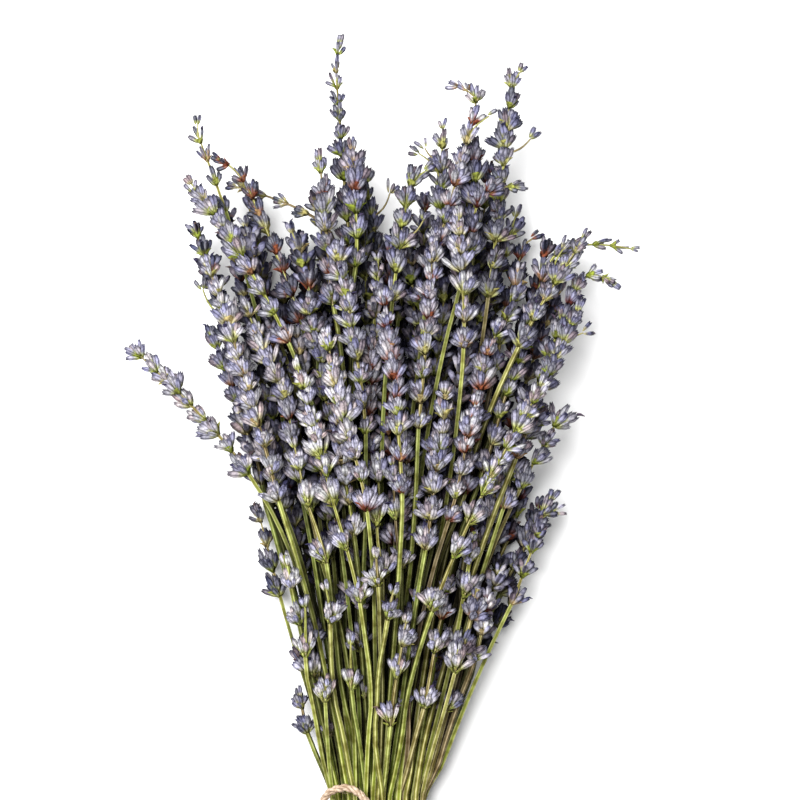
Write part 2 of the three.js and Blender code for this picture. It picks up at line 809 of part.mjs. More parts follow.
const neighbours = new Neighbours();
for (const stem of stems) {
  const stops = stemStops(stem);
  neighbours.addRod(stem, stops.map((y) => pathPoint(stem, y)), STEM_CORNER_RADIUS);
  if (stem.head < 0) continue;
  neighbours.addRod(stem, headAxis(stem).getSpacedPoints(12), AXIS_RADIUS);
}

const bunch = new THREE.Group();
const draw = makeDraw(11);
const flowering = stems.filter((s) => s.head >= 0);
for (const stem of [...flowering].sort((a, b) => b.depth - a.depth)) {
  const name = "head_" + String(stem.head + 1).padStart(2, "0");
  bunch.add(namedMesh(name, headGeometry(stem, neighbours, draw), LAVENDER, 0.9));
}

GROUP_NAMES.forEach((place, pair) => {
  const members = stems.filter((s) => s.pair === pair).map(stemGeometry);
  bunch.add(namedMesh("stems_" + place, fuse(members), STEM_GREEN, 0.75));
});

bunch.add(namedMesh("twine_tie", tieGeometry(), JUTE, 0.95));

export default bunch;
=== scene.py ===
# %% [markdown]
# # A bunch of dried lavender
# The real thing is a good hundred flowering stems, dried and tied with jute twine. Each stem
# ends in a spike: whorls of small ribbed calyces, one above the other, with a pair of bracts
# under each whorl. It could be made with particles or instances, but a bunch is looked at
# from close by, so every calyx is a real mesh here. The plain solids of the frame give the
# size and the place of each spike, and this script grows the fine ones on the same paths.

# %% Tools and the frame
import bmesh
import bpy
import json
import math
import random

import numpy as np
from mathutils import Matrix, Vector

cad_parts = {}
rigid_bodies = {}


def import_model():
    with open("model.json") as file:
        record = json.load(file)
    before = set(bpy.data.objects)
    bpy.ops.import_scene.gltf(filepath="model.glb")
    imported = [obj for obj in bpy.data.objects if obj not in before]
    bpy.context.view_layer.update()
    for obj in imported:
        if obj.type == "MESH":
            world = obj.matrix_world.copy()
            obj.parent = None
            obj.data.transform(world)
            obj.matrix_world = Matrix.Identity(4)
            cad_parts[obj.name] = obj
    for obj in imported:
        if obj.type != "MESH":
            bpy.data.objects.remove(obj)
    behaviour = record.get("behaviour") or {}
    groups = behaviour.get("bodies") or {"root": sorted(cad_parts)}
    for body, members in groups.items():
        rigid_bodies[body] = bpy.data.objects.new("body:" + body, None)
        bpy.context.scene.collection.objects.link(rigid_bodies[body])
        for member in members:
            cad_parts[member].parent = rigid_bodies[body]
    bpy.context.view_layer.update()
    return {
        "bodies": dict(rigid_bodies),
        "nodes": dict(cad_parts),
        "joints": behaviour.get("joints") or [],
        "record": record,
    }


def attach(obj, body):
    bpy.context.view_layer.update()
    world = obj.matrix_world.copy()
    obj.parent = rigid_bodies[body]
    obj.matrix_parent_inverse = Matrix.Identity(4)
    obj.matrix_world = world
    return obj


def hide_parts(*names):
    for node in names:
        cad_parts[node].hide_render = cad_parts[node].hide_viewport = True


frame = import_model()
MM = 0.001
print("frame:", len(frame["nodes"]), "nodes")

# %% [markdown]
# ## Where the camera stands
# The bunch lies on a table and is seen from straight above, with the tips away. A long lens
# keeps the stems straight and shows little perspective, as in a product photograph. The
# cut ends lie below the picture's lower edge.

# %% The camera
CAMERA_PLACE = (8.05 * MM, 149.8 * MM)
CAMERA_LENS = 140
VIEW_WIDTH = 280 * MM
VIEW_HEIGHT = 30 * MM
lens = bpy.data.cameras.new("camera")
lens.lens = CAMERA_LENS
lens.clip_end = 20
camera = bpy.data.objects.new("camera", lens)
camera.location = (*CAMERA_PLACE, VIEW_HEIGHT + CAMERA_LENS / lens.sensor_width * VIEW_WIDTH)
bpy.context.collection.objects.link(camera)
bpy.context.scene.camera = camera
print("camera height in m:", round(camera.location.z, 3))

# %% [markdown]
# ## Light and floor
# One large soft light, a little to the upper left, draws the ribs and leaves the gaps between
# the stems dark. A weak white sky fills the rest, and the floor is plain and pale. A picture
# of a studio could light the bunch too, but one lamp and an even sky are easier to steer.

# %% Light
KEY_POWER = 40
KEY_SIZE = 0.8
KEY_PLACE = (-0.3, 0.45, 1.3)
SKY_STRENGTH = 0.45


def add_light(name, place, target, size, power):
    light = bpy.data.lights.new(name, "AREA")
    light.size = size
    light.energy = power
    holder = bpy.data.objects.new(name, light)
    holder.location = place
    holder.rotation_euler = (Vector(target) - Vector(place)).to_track_quat("-Z", "Y").to_euler()
    bpy.context.collection.objects.link(holder)


add_light("key", KEY_PLACE, (*CAMERA_PLACE, 0), KEY_SIZE, KEY_POWER)
world = bpy.data.worlds.new("sky")
world.use_nodes = True
world.node_tree.nodes["Background"].inputs["Color"].default_value = (1, 1, 1, 1)
world.node_tree.nodes["Background"].inputs["Strength"].default_value = SKY_STRENGTH
bpy.context.scene.world = world
bpy.context.scene.view_settings.view_transform = "Standard"
print("key light in W:", KEY_POWER, "and sky:", SKY_STRENGTH)

# %% Floor
FLOOR_HALF_SIDE = 3
FLOOR_COLOUR = (0.9, 0.9, 0.9, 1)
FLOOR_ROUGHNESS = 0.9

floor_bm = bmesh.new()
bmesh.ops.create_grid(floor_bm, x_segments=1, y_segments=1, size=FLOOR_HALF_SIDE)
floor_mesh = bpy.data.meshes.new("floor")
floor_bm.to_mesh(floor_mesh)
floor_bm.free()
floor = bpy.data.objects.new("floor", floor_mesh)
bpy.context.collection.objects.link(floor)

pale = bpy.data.materials.new("pale floor")
pale.use_nodes = True
pale_shader = pale.node_tree.nodes["Principled BSDF"]
pale_shader.inputs["Base Color"].default_value = FLOOR_COLOUR
pale_shader.inputs["Roughness"].default_value = FLOOR_ROUGHNESS
floor.data.materials.append(pale)
print("floor side in m:", 2 * FLOOR_HALF_SIDE)

# %% [markdown]
# ## The plan of the bunch
# Each spike that shows has a place of its own, chosen from how such a bunch spreads, and the
# ones under them follow a seeded rule. These are the same driving values, in millimetres, that
# the solids of the frame were made from, so the fine pieces grow on the very same paths.

# %% Driving values of the bunch
# Along Y: the cut ends, half the straight run in the tie, and where the bunch is fully open.
CUT_END_Y = -110
CUT_END_SPREAD = 9
TIE_HALF_RUN = 7
FAN_OPEN_Y = 150

# Height of the middle of the bunch, and half its thickness, in the tie and among the heads.
TIE_MIDDLE_Z = 11.15
TIE_HALF_HEIGHT = 7
HEADS_MIDDLE_Z = 29
HEADS_HALF_HEIGHT = 24

# The slope at the sides of the fan, how much more a head leans at its tip, and how far the cut
# ends flare out and stray.
FAN_SLOPE = 0.34
HEAD_LEAN_AT_TIP = 1.2
CUT_FLARE = 1.4
CUT_STRAY = 0.7

# In the tie the stems stand in columns, two for each group of the frame. They are sorted by
# where a line from the fan's origin to their upper end crosses FAN_SORT_Y. Where the two columns
# of a group are staggered, one stem of each shifts towards the other, so that they touch.
FAN_ORIGIN_Y = -70
FAN_SORT_Y = 40
GROUP_NAMES = ["far_left", "left", "middle_left", "middle_right", "right", "far_right"]
COLUMN_COUNTS = [3, 4, 5, 6, 7, 8, 8, 7, 6, 5, 5, 3]
COLUMN_PAIR_PITCH = 5.8
COLUMN_HALF_STEP = 1.1
ROW_PITCH = 1.9
LINK_SHIFT = 0.45
print("stems in the frame:", sum(COLUMN_COUNTS))

# %% Heads that show
# Each as (base x, base y, tip x, tip y, depth), and for some the run of a thin bent tail past
# the tip and how far it runs straight on.
SHOWN_HEADS = [
    (-36, 124, -84, 168.5, 0.15),
    (-26, 170, -65, 227.5, 0.5),
    (-51.5, 216, -63, 242, -0.1, 0.5, 7.5),
    (-24.5, 177, -43.5, 222, -0.1, -14, 13.5),
    (-9, 188, -15.5, 206, -0.3, -38, 20, 0.25),
    (-32, 115, -58.5, 199.5, 0.75),
    (-40, 124, -59, 176, -0.45),
    (-35.5, 80, -41, 111.5, -0.6),
    (-21.5, 31.5, -26.5, 47.5, -0.5),
    (-9.5, 185, -14, 260.5, 0.2, 2, 16.5),
    (-12, 183, -19.5, 236.5, 0.55),
    (2, 182, -4.5, 231.5, -0.5),
    (4, 184, 10.5, 222, 0.5, 9, 9, 0.4),
    (18, 184, 34, 250, 0.4, -9.5, 9.5),
    (22.5, 198, 23, 248, 0.0),
    (40, 186, 46.5, 256.5, 0.1, 5.5, 10),
    (26, 190, 33.5, 213.5, 0.65, 17.5, 10),
    (34, 186, 40, 234, -0.5),
    (45, 183, 52.5, 203, -0.6, 7, 5),
    (50, 173, 60, 196.5, -0.2, 32, 6, 0.4),
    (45.5, 168.5, 72, 208.5, 0.45),
    (52, 146, 69, 187.5, 0.1, 15.5, 1.5, 0.8),
    (46, 130, 70, 184, 0.7),
    (46.5, 119, 65, 145.5, 0.2),
    (42, 81.5, 63.5, 117.5, -0.35),
    (28.5, 60, 52, 79.5, -0.6),
    (16.5, 76.5, 58, 157.5, 0.95),
    (16, 98, 24, 156, 0.9),
    (10, 118, 2, 187.5, 1.0),
    (15.5, 140, 20, 206, 0.9),
    (31, 168, 28, 216, 0.8),
    (-1, 111.5, -16.5, 174.5, 0.85),
    (-5, 138, -15, 204, 0.8),
    (-5.5, 79.5, -27.5, 164, 0.95),
    (-13, 93, -31, 132, 0.45),
    (11.5, 91, 6.5, 131, 0.9),
    (14.5, 41, 24.5, 88, 0.55),
    (6, 35.5, 10, 76, 0.95),
    (-5, 48, -6.5, 68, 0.9),
    (-2, 73, -5, 108, 0.35),
]
print("heads that show:", len(SHOWN_HEADS))

# %% Heads under them
# Each row as (count, depth, left and right share of the fan, y of the bases, length).
HIDDEN_ROWS = [
    (7, -0.97, -0.8, 1, 118, 62),
    (6, -0.15, -0.8, 0.75, 98, 66),
]
HIDDEN_BASE_DRIFT = 24
HIDDEN_DEPTH_DRIFT = 0.1
HIDDEN_SIDE_DRIFT = 0.4
print("heads under them:", sum(row[0] for row in HIDDEN_ROWS))

# %% Spikes that fill
# More spikes than the frame has solids for fill the gaps between them, by the same rule.
FILL_ROWS = [
    (13, -0.5, -0.9, 1, 150, 66),
    (12, 0.25, -0.85, 0.85, 122, 60),
    (11, -0.75, -0.8, 0.85, 92, 56),
    (7, 0.45, -0.6, 0.65, 100, 44),
]
FILL_TIE_HALF_WIDTH = 15.6
# The tie is oval, so a stem at its side has less height to stand in. This keeps some for it.
FILL_SIDE_LIMIT = 0.9

# Spikes with a place of their own: along the right edge, short ones low on the stems, and
# some in gaps of the crown. Each is (base x, base y, tip x, tip y, depth).
EXTRA_HEADS = [
    (41, 99, 48.5, 130.5, 0.0),
    (36, 94, 42, 125.5, -0.25),
    (45, 88.5, 54.5, 115, -0.6),
    (32, 80, 39, 108, -0.45),
    (-26.5, 56.5, -28, 66, -0.1),
    (-21.5, 60, -24.5, 81.5, 0.8),
    (-19.5, 44, -21, 53, 0.7),
    (27.5, 54.5, 28.5, 65, 0.7),
    (0, 85.5, -1, 99, 0.95),
    (3.5, 73.5, 5, 86, 0.95),
    (-12, 72, -16.5, 87, 0.8),
    (1, 160, -1, 202, -0.15),
    (-27, 158, -36, 190, -0.2),
    (7, 165, 8, 208, -0.1),
    (-20, 165, -28, 200, -0.3),
    (-25, 172, -33, 212, 0.0),
    (4, 178, 4.5, 216, -0.35),
    (24, 190, 27, 238, 0.1),
    (44, 112, 55, 148, 0.3),
    (44, 78, 57, 108, 0.1),
    (29, 60, 39, 98, -0.6),
    (22, 52, 30, 84, -0.6),
    (-28, 150, -36, 178, 0.2),
    (34, 66, 41, 92, -0.3),
    (30, 58, 36, 84, 0.1),
    (-34, 176, -45, 214, -0.1),
    (-3, 176, -3.5, 212, -0.3),
    (3.5, 172, 3, 206, -0.35),
    (40, 160, 49, 198, -0.15),
    (40, 90, 50, 122, -0.5),
    (-38, 120, -47, 148, -0.2),
    (-6, 196, -9.5, 240, 0.4),
    (30, 200, 31, 240, 0.3),
    (43, 88, 48, 114, -0.85),
]
print("spikes that fill:", sum(row[0] for row in FILL_ROWS) + len(EXTRA_HEADS))

# %% Bare stems
# Stems that never flowered, or whose whorls stand low: (tip x, tip y, depth).
BARE_STEMS = [
    (-34, 96, 0.9),
    (-26, 74, 0.5),
    (-20, 118, 0.3),
    (-14, 66, -0.3),
    (-8, 104, 0.4),
    (-4, 88, 0.5),
    (4, 70, -0.2),
    (12, 112, 0.3),
    (14, 84, 0.6),
    (24, 66, -0.2),
    (36, 104, 0.6),
    (46, 124, 0.3),
    (38, 84, 0.8),
    (-30, 128, -0.2),
]

# In the record of a stem, these stand for the number of its head where it has none.
BARE = -1
FILL = -2
print("bare stems:", len(BARE_STEMS))

# %% A generator of random numbers
DRAW_FACTOR = 1664525
DRAW_STEP = 1013904223
DRAW_RANGE = 2**32
PLAN_SEED = 7
FILL_SEED = 23


def make_draw(seed):
    """A small seeded generator that gives the solids and this script the same numbers."""
    state = seed

    def draw():
        nonlocal state
        state = (state * DRAW_FACTOR + DRAW_STEP) % DRAW_RANGE
        return state / DRAW_RANGE

    return draw


print("first draw:", round(make_draw(PLAN_SEED)(), 6))


# %% Small curves
def clamp01(t):
    return min(1.0, max(0.0, t))


def smooth_step(t):
    return clamp01(t) ** 2 * (3 - 2 * clamp01(t))


def mix(a, b, t):
    return a + (b - a) * t


def hermite(a, slope_a, b, slope_b, run, t):
    """A cubic from value a to value b with a slope at each end."""
    t2, t3 = t * t, t * t * t
    return (
        (2 * t3 - 3 * t2 + 1) * a
        + (t3 - 2 * t2 + t) * run * slope_a
        + (3 * t2 - 2 * t3) * b
        + (t3 - t2) * run * slope_b
    )


def layer_z(y, depth):
    spread = smooth_step(y / FAN_OPEN_Y)
    middle = mix(TIE_MIDDLE_Z, HEADS_MIDDLE_Z, spread)
    return middle + depth * mix(TIE_HALF_HEIGHT, HEADS_HALF_HEIGHT, spread)


# %% The stems as records
def rows_of_heads(rows, draw):
    heads = []
    for count, depth, left, right, base_y, length in rows:
        for i in range(count):
            place = (i + 0.5 + HIDDEN_SIDE_DRIFT * (draw() - 0.5)) / count
            slope = FAN_SLOPE * mix(left, right, place)
            y = base_y + HIDDEN_BASE_DRIFT * (draw() - 0.5)
            x = slope * y
            tip_x = x + HEAD_LEAN_AT_TIP * slope * length
            heads.append((x, y, tip_x, y + length, depth + HIDDEN_DEPTH_DRIFT * (draw() - 0.5)))
    return heads


def list_stems():
    draw = make_draw(PLAN_SEED)
    stems = []
    for i, (bx, by, tx, ty, depth, *tail) in enumerate(SHOWN_HEADS + rows_of_heads(HIDDEN_ROWS, draw)):
        stems.append(dict(base=(bx, by), tip=(tx, ty), depth=depth, tail=tail, head=i))
    for tx, ty, depth in BARE_STEMS:
        stems.append(dict(base=(tx, ty), tip=(tx, ty), depth=depth, tail=[], head=BARE))
    for stem in stems:
        stem["cut_y"] = CUT_END_Y + CUT_END_SPREAD * draw()
        stem["turn"] = 2 * math.pi * draw()
        stem["stray"] = [CUT_STRAY * (2 * draw() - 1), CUT_STRAY * (2 * draw() - 1)]
    return stems


# %% Places in the tie
def place_in_tie(stems):
    """Columns by where a stem fans to, rows by its depth, as the twine holds them."""

    def fan(stem):
        return stem["base"][0] * (FAN_SORT_Y - FAN_ORIGIN_Y) / (stem["base"][1] - FAN_ORIGIN_Y)

    order = sorted(stems, key=fan)
    first = 0
    for column, count in enumerate(COLUMN_COUNTS):
        pair, side = column // 2, 1 if column % 2 else -1
        middle = (pair - (len(GROUP_NAMES) - 1) / 2) * COLUMN_PAIR_PITCH
        partner = COLUMN_COUNTS[column - side]
        link_row = (min(count, partner) - 1) // 2
        members = sorted(order[first : first + count], key=lambda stem: stem["depth"])
        for row, stem in enumerate(members):
            lean = LINK_SHIFT if row == link_row and (count + partner) % 2 else 0
            tie_z = TIE_MIDDLE_Z + (row - (count - 1) / 2) * ROW_PITCH
            stem["pair"] = pair
            stem["tie"] = (middle + side * (COLUMN_HALF_STEP - lean), tie_z)
            cut_x = CUT_FLARE * (middle + side * COLUMN_PAIR_PITCH / 4) + stem["stray"][0]
            cut_z = TIE_MIDDLE_Z + CUT_FLARE * (tie_z - TIE_MIDDLE_Z) + stem["stray"][1]
            stem["cut"] = (cut_x, cut_z)
        first += count


def list_fill():
    """The stems of the filling spikes, each in the tie where its side of the fan starts."""
    draw = make_draw(FILL_SEED)
    fill = []
    for bx, by, tx, ty, depth in rows_of_heads(FILL_ROWS, draw) + EXTRA_HEADS:
        side = max(-1, min(1, bx / (by * FAN_SLOPE)))
        tie_x = side * FILL_TIE_HALF_WIDTH
        oval = math.sqrt(1 - min(side * side, FILL_SIDE_LIMIT))
        tie_z = TIE_MIDDLE_Z + depth * TIE_HALF_HEIGHT * oval
        pair = min(int((side + 1) / 2 * len(GROUP_NAMES)), len(GROUP_NAMES) - 1)
        cut = (CUT_FLARE * tie_x, mix(TIE_MIDDLE_Z, tie_z, CUT_FLARE))
        stem = dict(base=(bx, by), tip=(tx, ty), depth=depth, tail=[], head=FILL, pair=pair)
        stem.update(cut_y=CUT_END_Y + CUT_END_SPREAD * draw(), turn=2 * math.pi * draw())
        stem.update(tie=(tie_x, tie_z), cut=cut)
        fill.append(stem)
    return fill


stems = list_stems()
place_in_tie(stems)
fill_stems = list_fill()
print("stems:", len(stems), "and", len(fill_stems), "that fill")


# %% [markdown]
# ## Settling the stems
# Stems can't pass through each other. Each one starts on the line it would like to take, and
# then all are pushed apart a little, over and over, while each is pulled back to its line and
# kept smooth. A cloth solver relaxes its threads like this, and here it is done in one plane
# after another along Y. The stems of the frame are settled first and then stay, and the
# filling ones find their way between them.

# %% The line that each stem would like to take
# It leaves the tie with this share of its mean slope. Where the head starts, its slope is
# partly the mean one and by this share the head's own.
SLOPE_AT_TIE = 0.6
HEAD_LEAN_AT_BASE = 0.55
PATH_PAST_TIP = 1.4


def wanted_point(stem, y):
    (bx, by), (tx, ty), (tie_x, tie_z) = stem["base"], stem["tip"], stem["tie"]
    run = by - TIE_HALF_RUN
    rise = (bx - tie_x) / run
    lean = (tx - bx) / (ty - by) if ty > by else rise
    slope_at_base = mix(rise, lean, HEAD_LEAN_AT_BASE)
    if y < by:
        t = (y - TIE_HALF_RUN) / run
        x = hermite(tie_x, SLOPE_AT_TIE * rise, bx, slope_at_base, run, t)
        return x, mix(tie_z, layer_z(y, stem["depth"]), smooth_step(t))
    length = max(ty - by, 1)
    t = min((y - by) / length, PATH_PAST_TIP)
    x = hermite(bx, slope_at_base, tx, HEAD_LEAN_AT_TIP * lean, length, t)
    return x, layer_z(y, stem["depth"])


# %% The room that each stem needs
# Paths are settled at stations along Y, this far apart.
STATION = 12

# Rooms are radii: of a stem in the tie and past it, of a head along most of it and at its tip.
STEM_ROOM_AT_TIE = 1.35
STEM_ROOM = 1.6
STEM_OPEN_Y = 60
HEAD_ROOM = 5.8
HEAD_TIP_ROOM = 3.6
HEAD_TAPER_FROM = 0.6
FILL_HEAD_ROOM = 4.4


def station_y(k):
    return TIE_HALF_RUN + k * STATION


def room_at(stem, y):
    base_y, tip_y = stem["base"][1], stem["tip"][1]
    if stem["head"] == BARE or y < base_y - STATION / 2:
        return mix(STEM_ROOM_AT_TIE, STEM_ROOM, clamp01(y / STEM_OPEN_Y))
    if stem["head"] == FILL:
        return FILL_HEAD_ROOM
    share = clamp01((y - base_y) / (tip_y - base_y))
    taper = smooth_step((share - HEAD_TAPER_FROM) / (1 - HEAD_TAPER_FROM))
    return mix(HEAD_ROOM, HEAD_TIP_ROOM, taper)


# %% Settled paths
SETTLE_ROUNDS = 160

# In a round a path moves by these shares of a crossing, of the way back to the line that it
# would like to take, and of its bend.
PUSH = 0.45
PULL = 0.03
SMOOTH = 0.3
LEAST_GAP = 1e-9

# The lowest that the middle of a head and of a stem may lie.
HEAD_FLOOR = 5.6
STEM_FLOOR = 1.6


def settle(stems, fixed=0):
    """Pushes the paths apart. The first few, up to fixed, are settled already and stay."""
    last = np.array([math.ceil((s["tip"][1] - TIE_HALF_RUN) / STATION) + 1 for s in stems])
    stations = last.max()
    wanted = np.array([[wanted_point(s, station_y(k)) for k in range(stations + 2)] for s in stems])
    rooms = np.array([[room_at(s, station_y(k)) for k in range(stations + 2)] for s in stems])
    paths = wanted.copy()
    for path, stem in zip(paths, stems[:fixed]):
        path[: stem["last"] + 1] = stem["path"]
    for _ in range(SETTLE_ROUNDS):
        for k in range(1, stations + 1):
            here = np.flatnonzero(last >= k)
            spot, room = paths[here, k], rooms[here, k]
            apart = spot[None] - spot[:, None]
            gap = np.sqrt((apart**2).sum(axis=2)) + LEAST_GAP
            short = np.maximum(room[:, None] + room[None] - gap, 0)
            np.fill_diagonal(short, 0)
            moves = -(PUSH * short / gap)[..., None] * apart
            inner = (last[here] > k)[:, None]
            bend = np.where(inner, (paths[here, k - 1] + paths[here, k + 1]) / 2 - spot, 0)
            spot = spot + moves.sum(axis=1) + SMOOTH * bend + PULL * (wanted[here, k] - spot)
            spot[:, 1] = np.maximum(spot[:, 1], np.where(room > STEM_ROOM, HEAD_FLOOR, STEM_FLOOR))
            free = here >= fixed
            paths[here[free], k] = spot[free]
    for stem, path, end in list(zip(stems, paths, last))[fixed:]:
        stem["last"], stem["path"] = int(end), path[: end + 1]


def path_point(stem, y):
    """The settled path at y, in millimetres."""
    if y <= TIE_HALF_RUN:
        below = clamp01((-y - TIE_HALF_RUN) / (-CUT_END_Y - TIE_HALF_RUN))
        (tie_x, tie_z), (cut_x, cut_z) = stem["tie"], stem["cut"]
        return Vector((mix(tie_x, cut_x, below), y, mix(tie_z, cut_z, below)))
    along = (y - TIE_HALF_RUN) / STATION
    k = min(int(along), stem["last"] - 1)
    a, b, c, d = (stem["path"][min(max(i, 0), stem["last"])] for i in (k - 1, k, k + 1, k + 2))
    x, z = (hermite(b[i], (c[i] - a[i]) / 2, c[i], (d[i] - b[i]) / 2, 1, along - k) for i in (0, 1))
    return Vector((x, y, z))


settle(stems)
settle(stems + fill_stems, fixed=len(stems))
lowest = min(path_point(s, s["tip"][1]).z for s in stems)
print("lowest tip in mm:", round(lowest, 2))

# %% [markdown]
# ## Finishes
# Dried lavender is dull all over, so colour does the work: a calyx is green or rust where it
# leaves the stem, pale along its ribs, dark in the furrows and dark again at its teeth. The dark
# furrows and teeth are partly the calyx's own colour and partly painted shade. The meshes carry
# values of their own for this. "rib" runs from 0 in a furrow to 1 on a ridge, "along" from 0 at
# the root to 1 at the tip. "luck" differs from calyx to calyx, "kin" from whorl to whorl, and
# "tone" from spike to spike, from slate to bleached, lower in the depths as painted shade.
# "painted_shade" is 1 deep in the bunch, where little light gets in, and darkens the colour there.
# An image texture would blur close up.

# %% Helpers for materials
SHINE = 0.05
BUMP_DEPTH = 0.0002
BLACK, WHITE, PAINTED_SHADE_DARKEST = (0, 0, 0), (1, 1, 1), (0.05, 0.045, 0.07)
# How painted shade darkens the colour, from the open to deep in the bunch.
PAINTED_SHADE_STOPS = [(0.14, WHITE), (0.5, (0.58, 0.57, 0.6)), (0.95, PAINTED_SHADE_DARKEST)]


class Finish:
    """A node material that is built from the bottom up, one node at a time."""

    def __init__(self, name, roughness):
        self.material = bpy.data.materials.new(name)
        self.material.use_nodes = True
        self.nodes = self.material.node_tree.nodes
        self.links = self.material.node_tree.links
        self.shader = self.nodes["Principled BSDF"]
        self.shader.inputs["Roughness"].default_value = roughness
        self.shader.inputs["Specular IOR Level"].default_value = SHINE

    def value(self, name):
        """A value that the mesh carries at each of its points."""
        node = self.nodes.new("ShaderNodeAttribute")
        node.attribute_name = name
        return node.outputs["Fac"]

    def grain(self, scale, detail=3.0):
        """Noise from 0 to 1 in the object's own space. A larger scale is a finer grain."""
        place = self.nodes.new("ShaderNodeTexCoord")
        node = self.nodes.new("ShaderNodeTexNoise")
        node.inputs["Scale"].default_value = scale
        node.inputs["Detail"].default_value = detail
        self.links.new(place.outputs["Object"], node.inputs["Vector"])
        return node.outputs["Fac"]

    def ramp(self, value, stops):
        """A colour that changes with a value. The stops are (value, colour)."""
        node = self.nodes.new("ShaderNodeValToRGB")
        elements = node.color_ramp.elements
        for place, colour in stops[2:]:
            elements.new(place)
        for element, (place, colour) in zip(elements, stops):
            element.position = place
            element.color = (*colour, 1)
        self.links.new(value, node.inputs["Fac"])
        return node.outputs["Color"]

    def blend(self, factor, a, b, how="MIX"):
        """Colour a where the factor is 0 and b where it is 1. Each may be a socket or a value."""
        node = self.nodes.new("ShaderNodeMix")
        node.data_type = "RGBA"
        node.blend_type = how
        # The node has sockets of the same names for each data type. These are the colour's.
        factor_in, a_in, b_in = node.inputs[0], node.inputs[6], node.inputs[7]
        for socket, what in ((factor_in, factor), (a_in, a), (b_in, b)):
            if isinstance(what, bpy.types.NodeSocket):
                self.links.new(what, socket)
            elif socket == factor_in:
                socket.default_value = what
            else:
                socket.default_value = (*what, 1)
        return node.outputs[2]

    def times(self, a, b):
        return self.blend(1.0, a, b, "MULTIPLY")

    def paint(self, colour, bump_scale):
        """Darkens the colour as painted shade deep in the bunch, roughens the surface, returns the
        material.
        """
        painted_shade = self.ramp(self.value("painted_shade"), PAINTED_SHADE_STOPS)
        self.links.new(self.times(colour, painted_shade), self.shader.inputs["Base Color"])
        bump = self.nodes.new("ShaderNodeBump")
        bump.inputs["Distance"].default_value = BUMP_DEPTH
        self.links.new(self.grain(bump_scale), bump.inputs["Height"])
        self.links.new(bump.outputs["Normal"], self.shader.inputs["Normal"])
        return self.material


# %% Calyces, bracts and petals
def calyx_finish():
    """Ridges and furrows by the spike's tone, a hue by luck, dark teeth and a coloured root."""
    finish = Finish("dried calyx", roughness=0.9)
    tone, rib, along = finish.value("tone"), finish.value("rib"), finish.value("along")
    # Furrows are darker than ridges: partly the calyx's own pale ribs, partly painted shade in the
    # furrows.
    furrow = finish.ramp(
        tone, [(0.0, (0.014, 0.015, 0.023)), (0.5, (0.1, 0.095, 0.125)), (1.0, (0.27, 0.26, 0.25))]
    )
    ridge = finish.ramp(
        tone, [(0.0, (0.13, 0.135, 0.17)), (0.5, (0.4, 0.39, 0.44)), (1.0, (0.76, 0.74, 0.73))]
    )
    lines = finish.ramp(rib, [(0.05, BLACK), (0.5, WHITE)])
    body = finish.blend(lines, furrow, ridge)
    hue = finish.ramp(
        finish.value("luck"),
        [
            (0.0, (0.67, 0.68, 0.94)),
            (0.35, (0.9, 0.88, 0.97)),
            (0.6, (0.91, 0.93, 0.91)),
            (0.85, (0.98, 0.9, 0.9)),
            (1.0, (0.66, 0.51, 0.5)),
        ],
    )
    # Dark teeth: partly their own colour, partly painted shade between the calyces.
    teeth = finish.ramp(along, [(0.7, WHITE), (0.95, (0.24, 0.24, 0.3))])
    body = finish.times(finish.times(body, hue), teeth)
    claw = finish.ramp(
        finish.value("kin"),
        [
            (0.0, (0.35, 0.4, 0.08)),
            (0.35, (0.54, 0.55, 0.2)),
            (0.6, (0.58, 0.51, 0.3)),
            (0.8, (0.34, 0.13, 0.07)),
            (1.0, (0.17, 0.05, 0.045)),
        ],
    )
    # The claw is darker in its furrows too, partly as painted shade.
    claw = finish.times(claw, finish.ramp(rib, [(0.1, (0.4, 0.36, 0.3)), (0.6, WHITE)]))
    root = finish.ramp(along, [(0.14, WHITE), (0.5, BLACK)])
    mottle = finish.ramp(finish.grain(scale=1100), [(0.36, (0.55, 0.55, 0.57)), (0.58, WHITE)])
    return finish.paint(finish.times(finish.blend(root, body, claw), mottle), bump_scale=2500)


def bract_finish():
    """Green to rust by the whorl's kin, with dark flecks."""
    finish = Finish("papery bract", roughness=0.8)
    colour = finish.ramp(
        finish.value("kin"),
        [
            (0.0, (0.26, 0.32, 0.04)),
            (0.35, (0.42, 0.43, 0.11)),
            (0.6, (0.5, 0.39, 0.18)),
            (0.8, (0.32, 0.095, 0.045)),
            (1.0, (0.14, 0.035, 0.03)),
        ],
    )
    flecks = finish.ramp(finish.grain(scale=900), [(0.36, (0.35, 0.33, 0.3)), (0.62, WHITE)])
    return finish.paint(finish.times(colour, flecks), bump_scale=1500)


def petal_finish():
    """Near-black violet to brown."""
    finish = Finish("withered petal", roughness=0.75)
    colour = finish.ramp(
        finish.value("luck"),
        [(0.0, (0.03, 0.03, 0.07)), (0.6, (0.06, 0.045, 0.09)), (1.0, (0.14, 0.09, 0.07))],
    )
    return finish.paint(colour, bump_scale=1800)


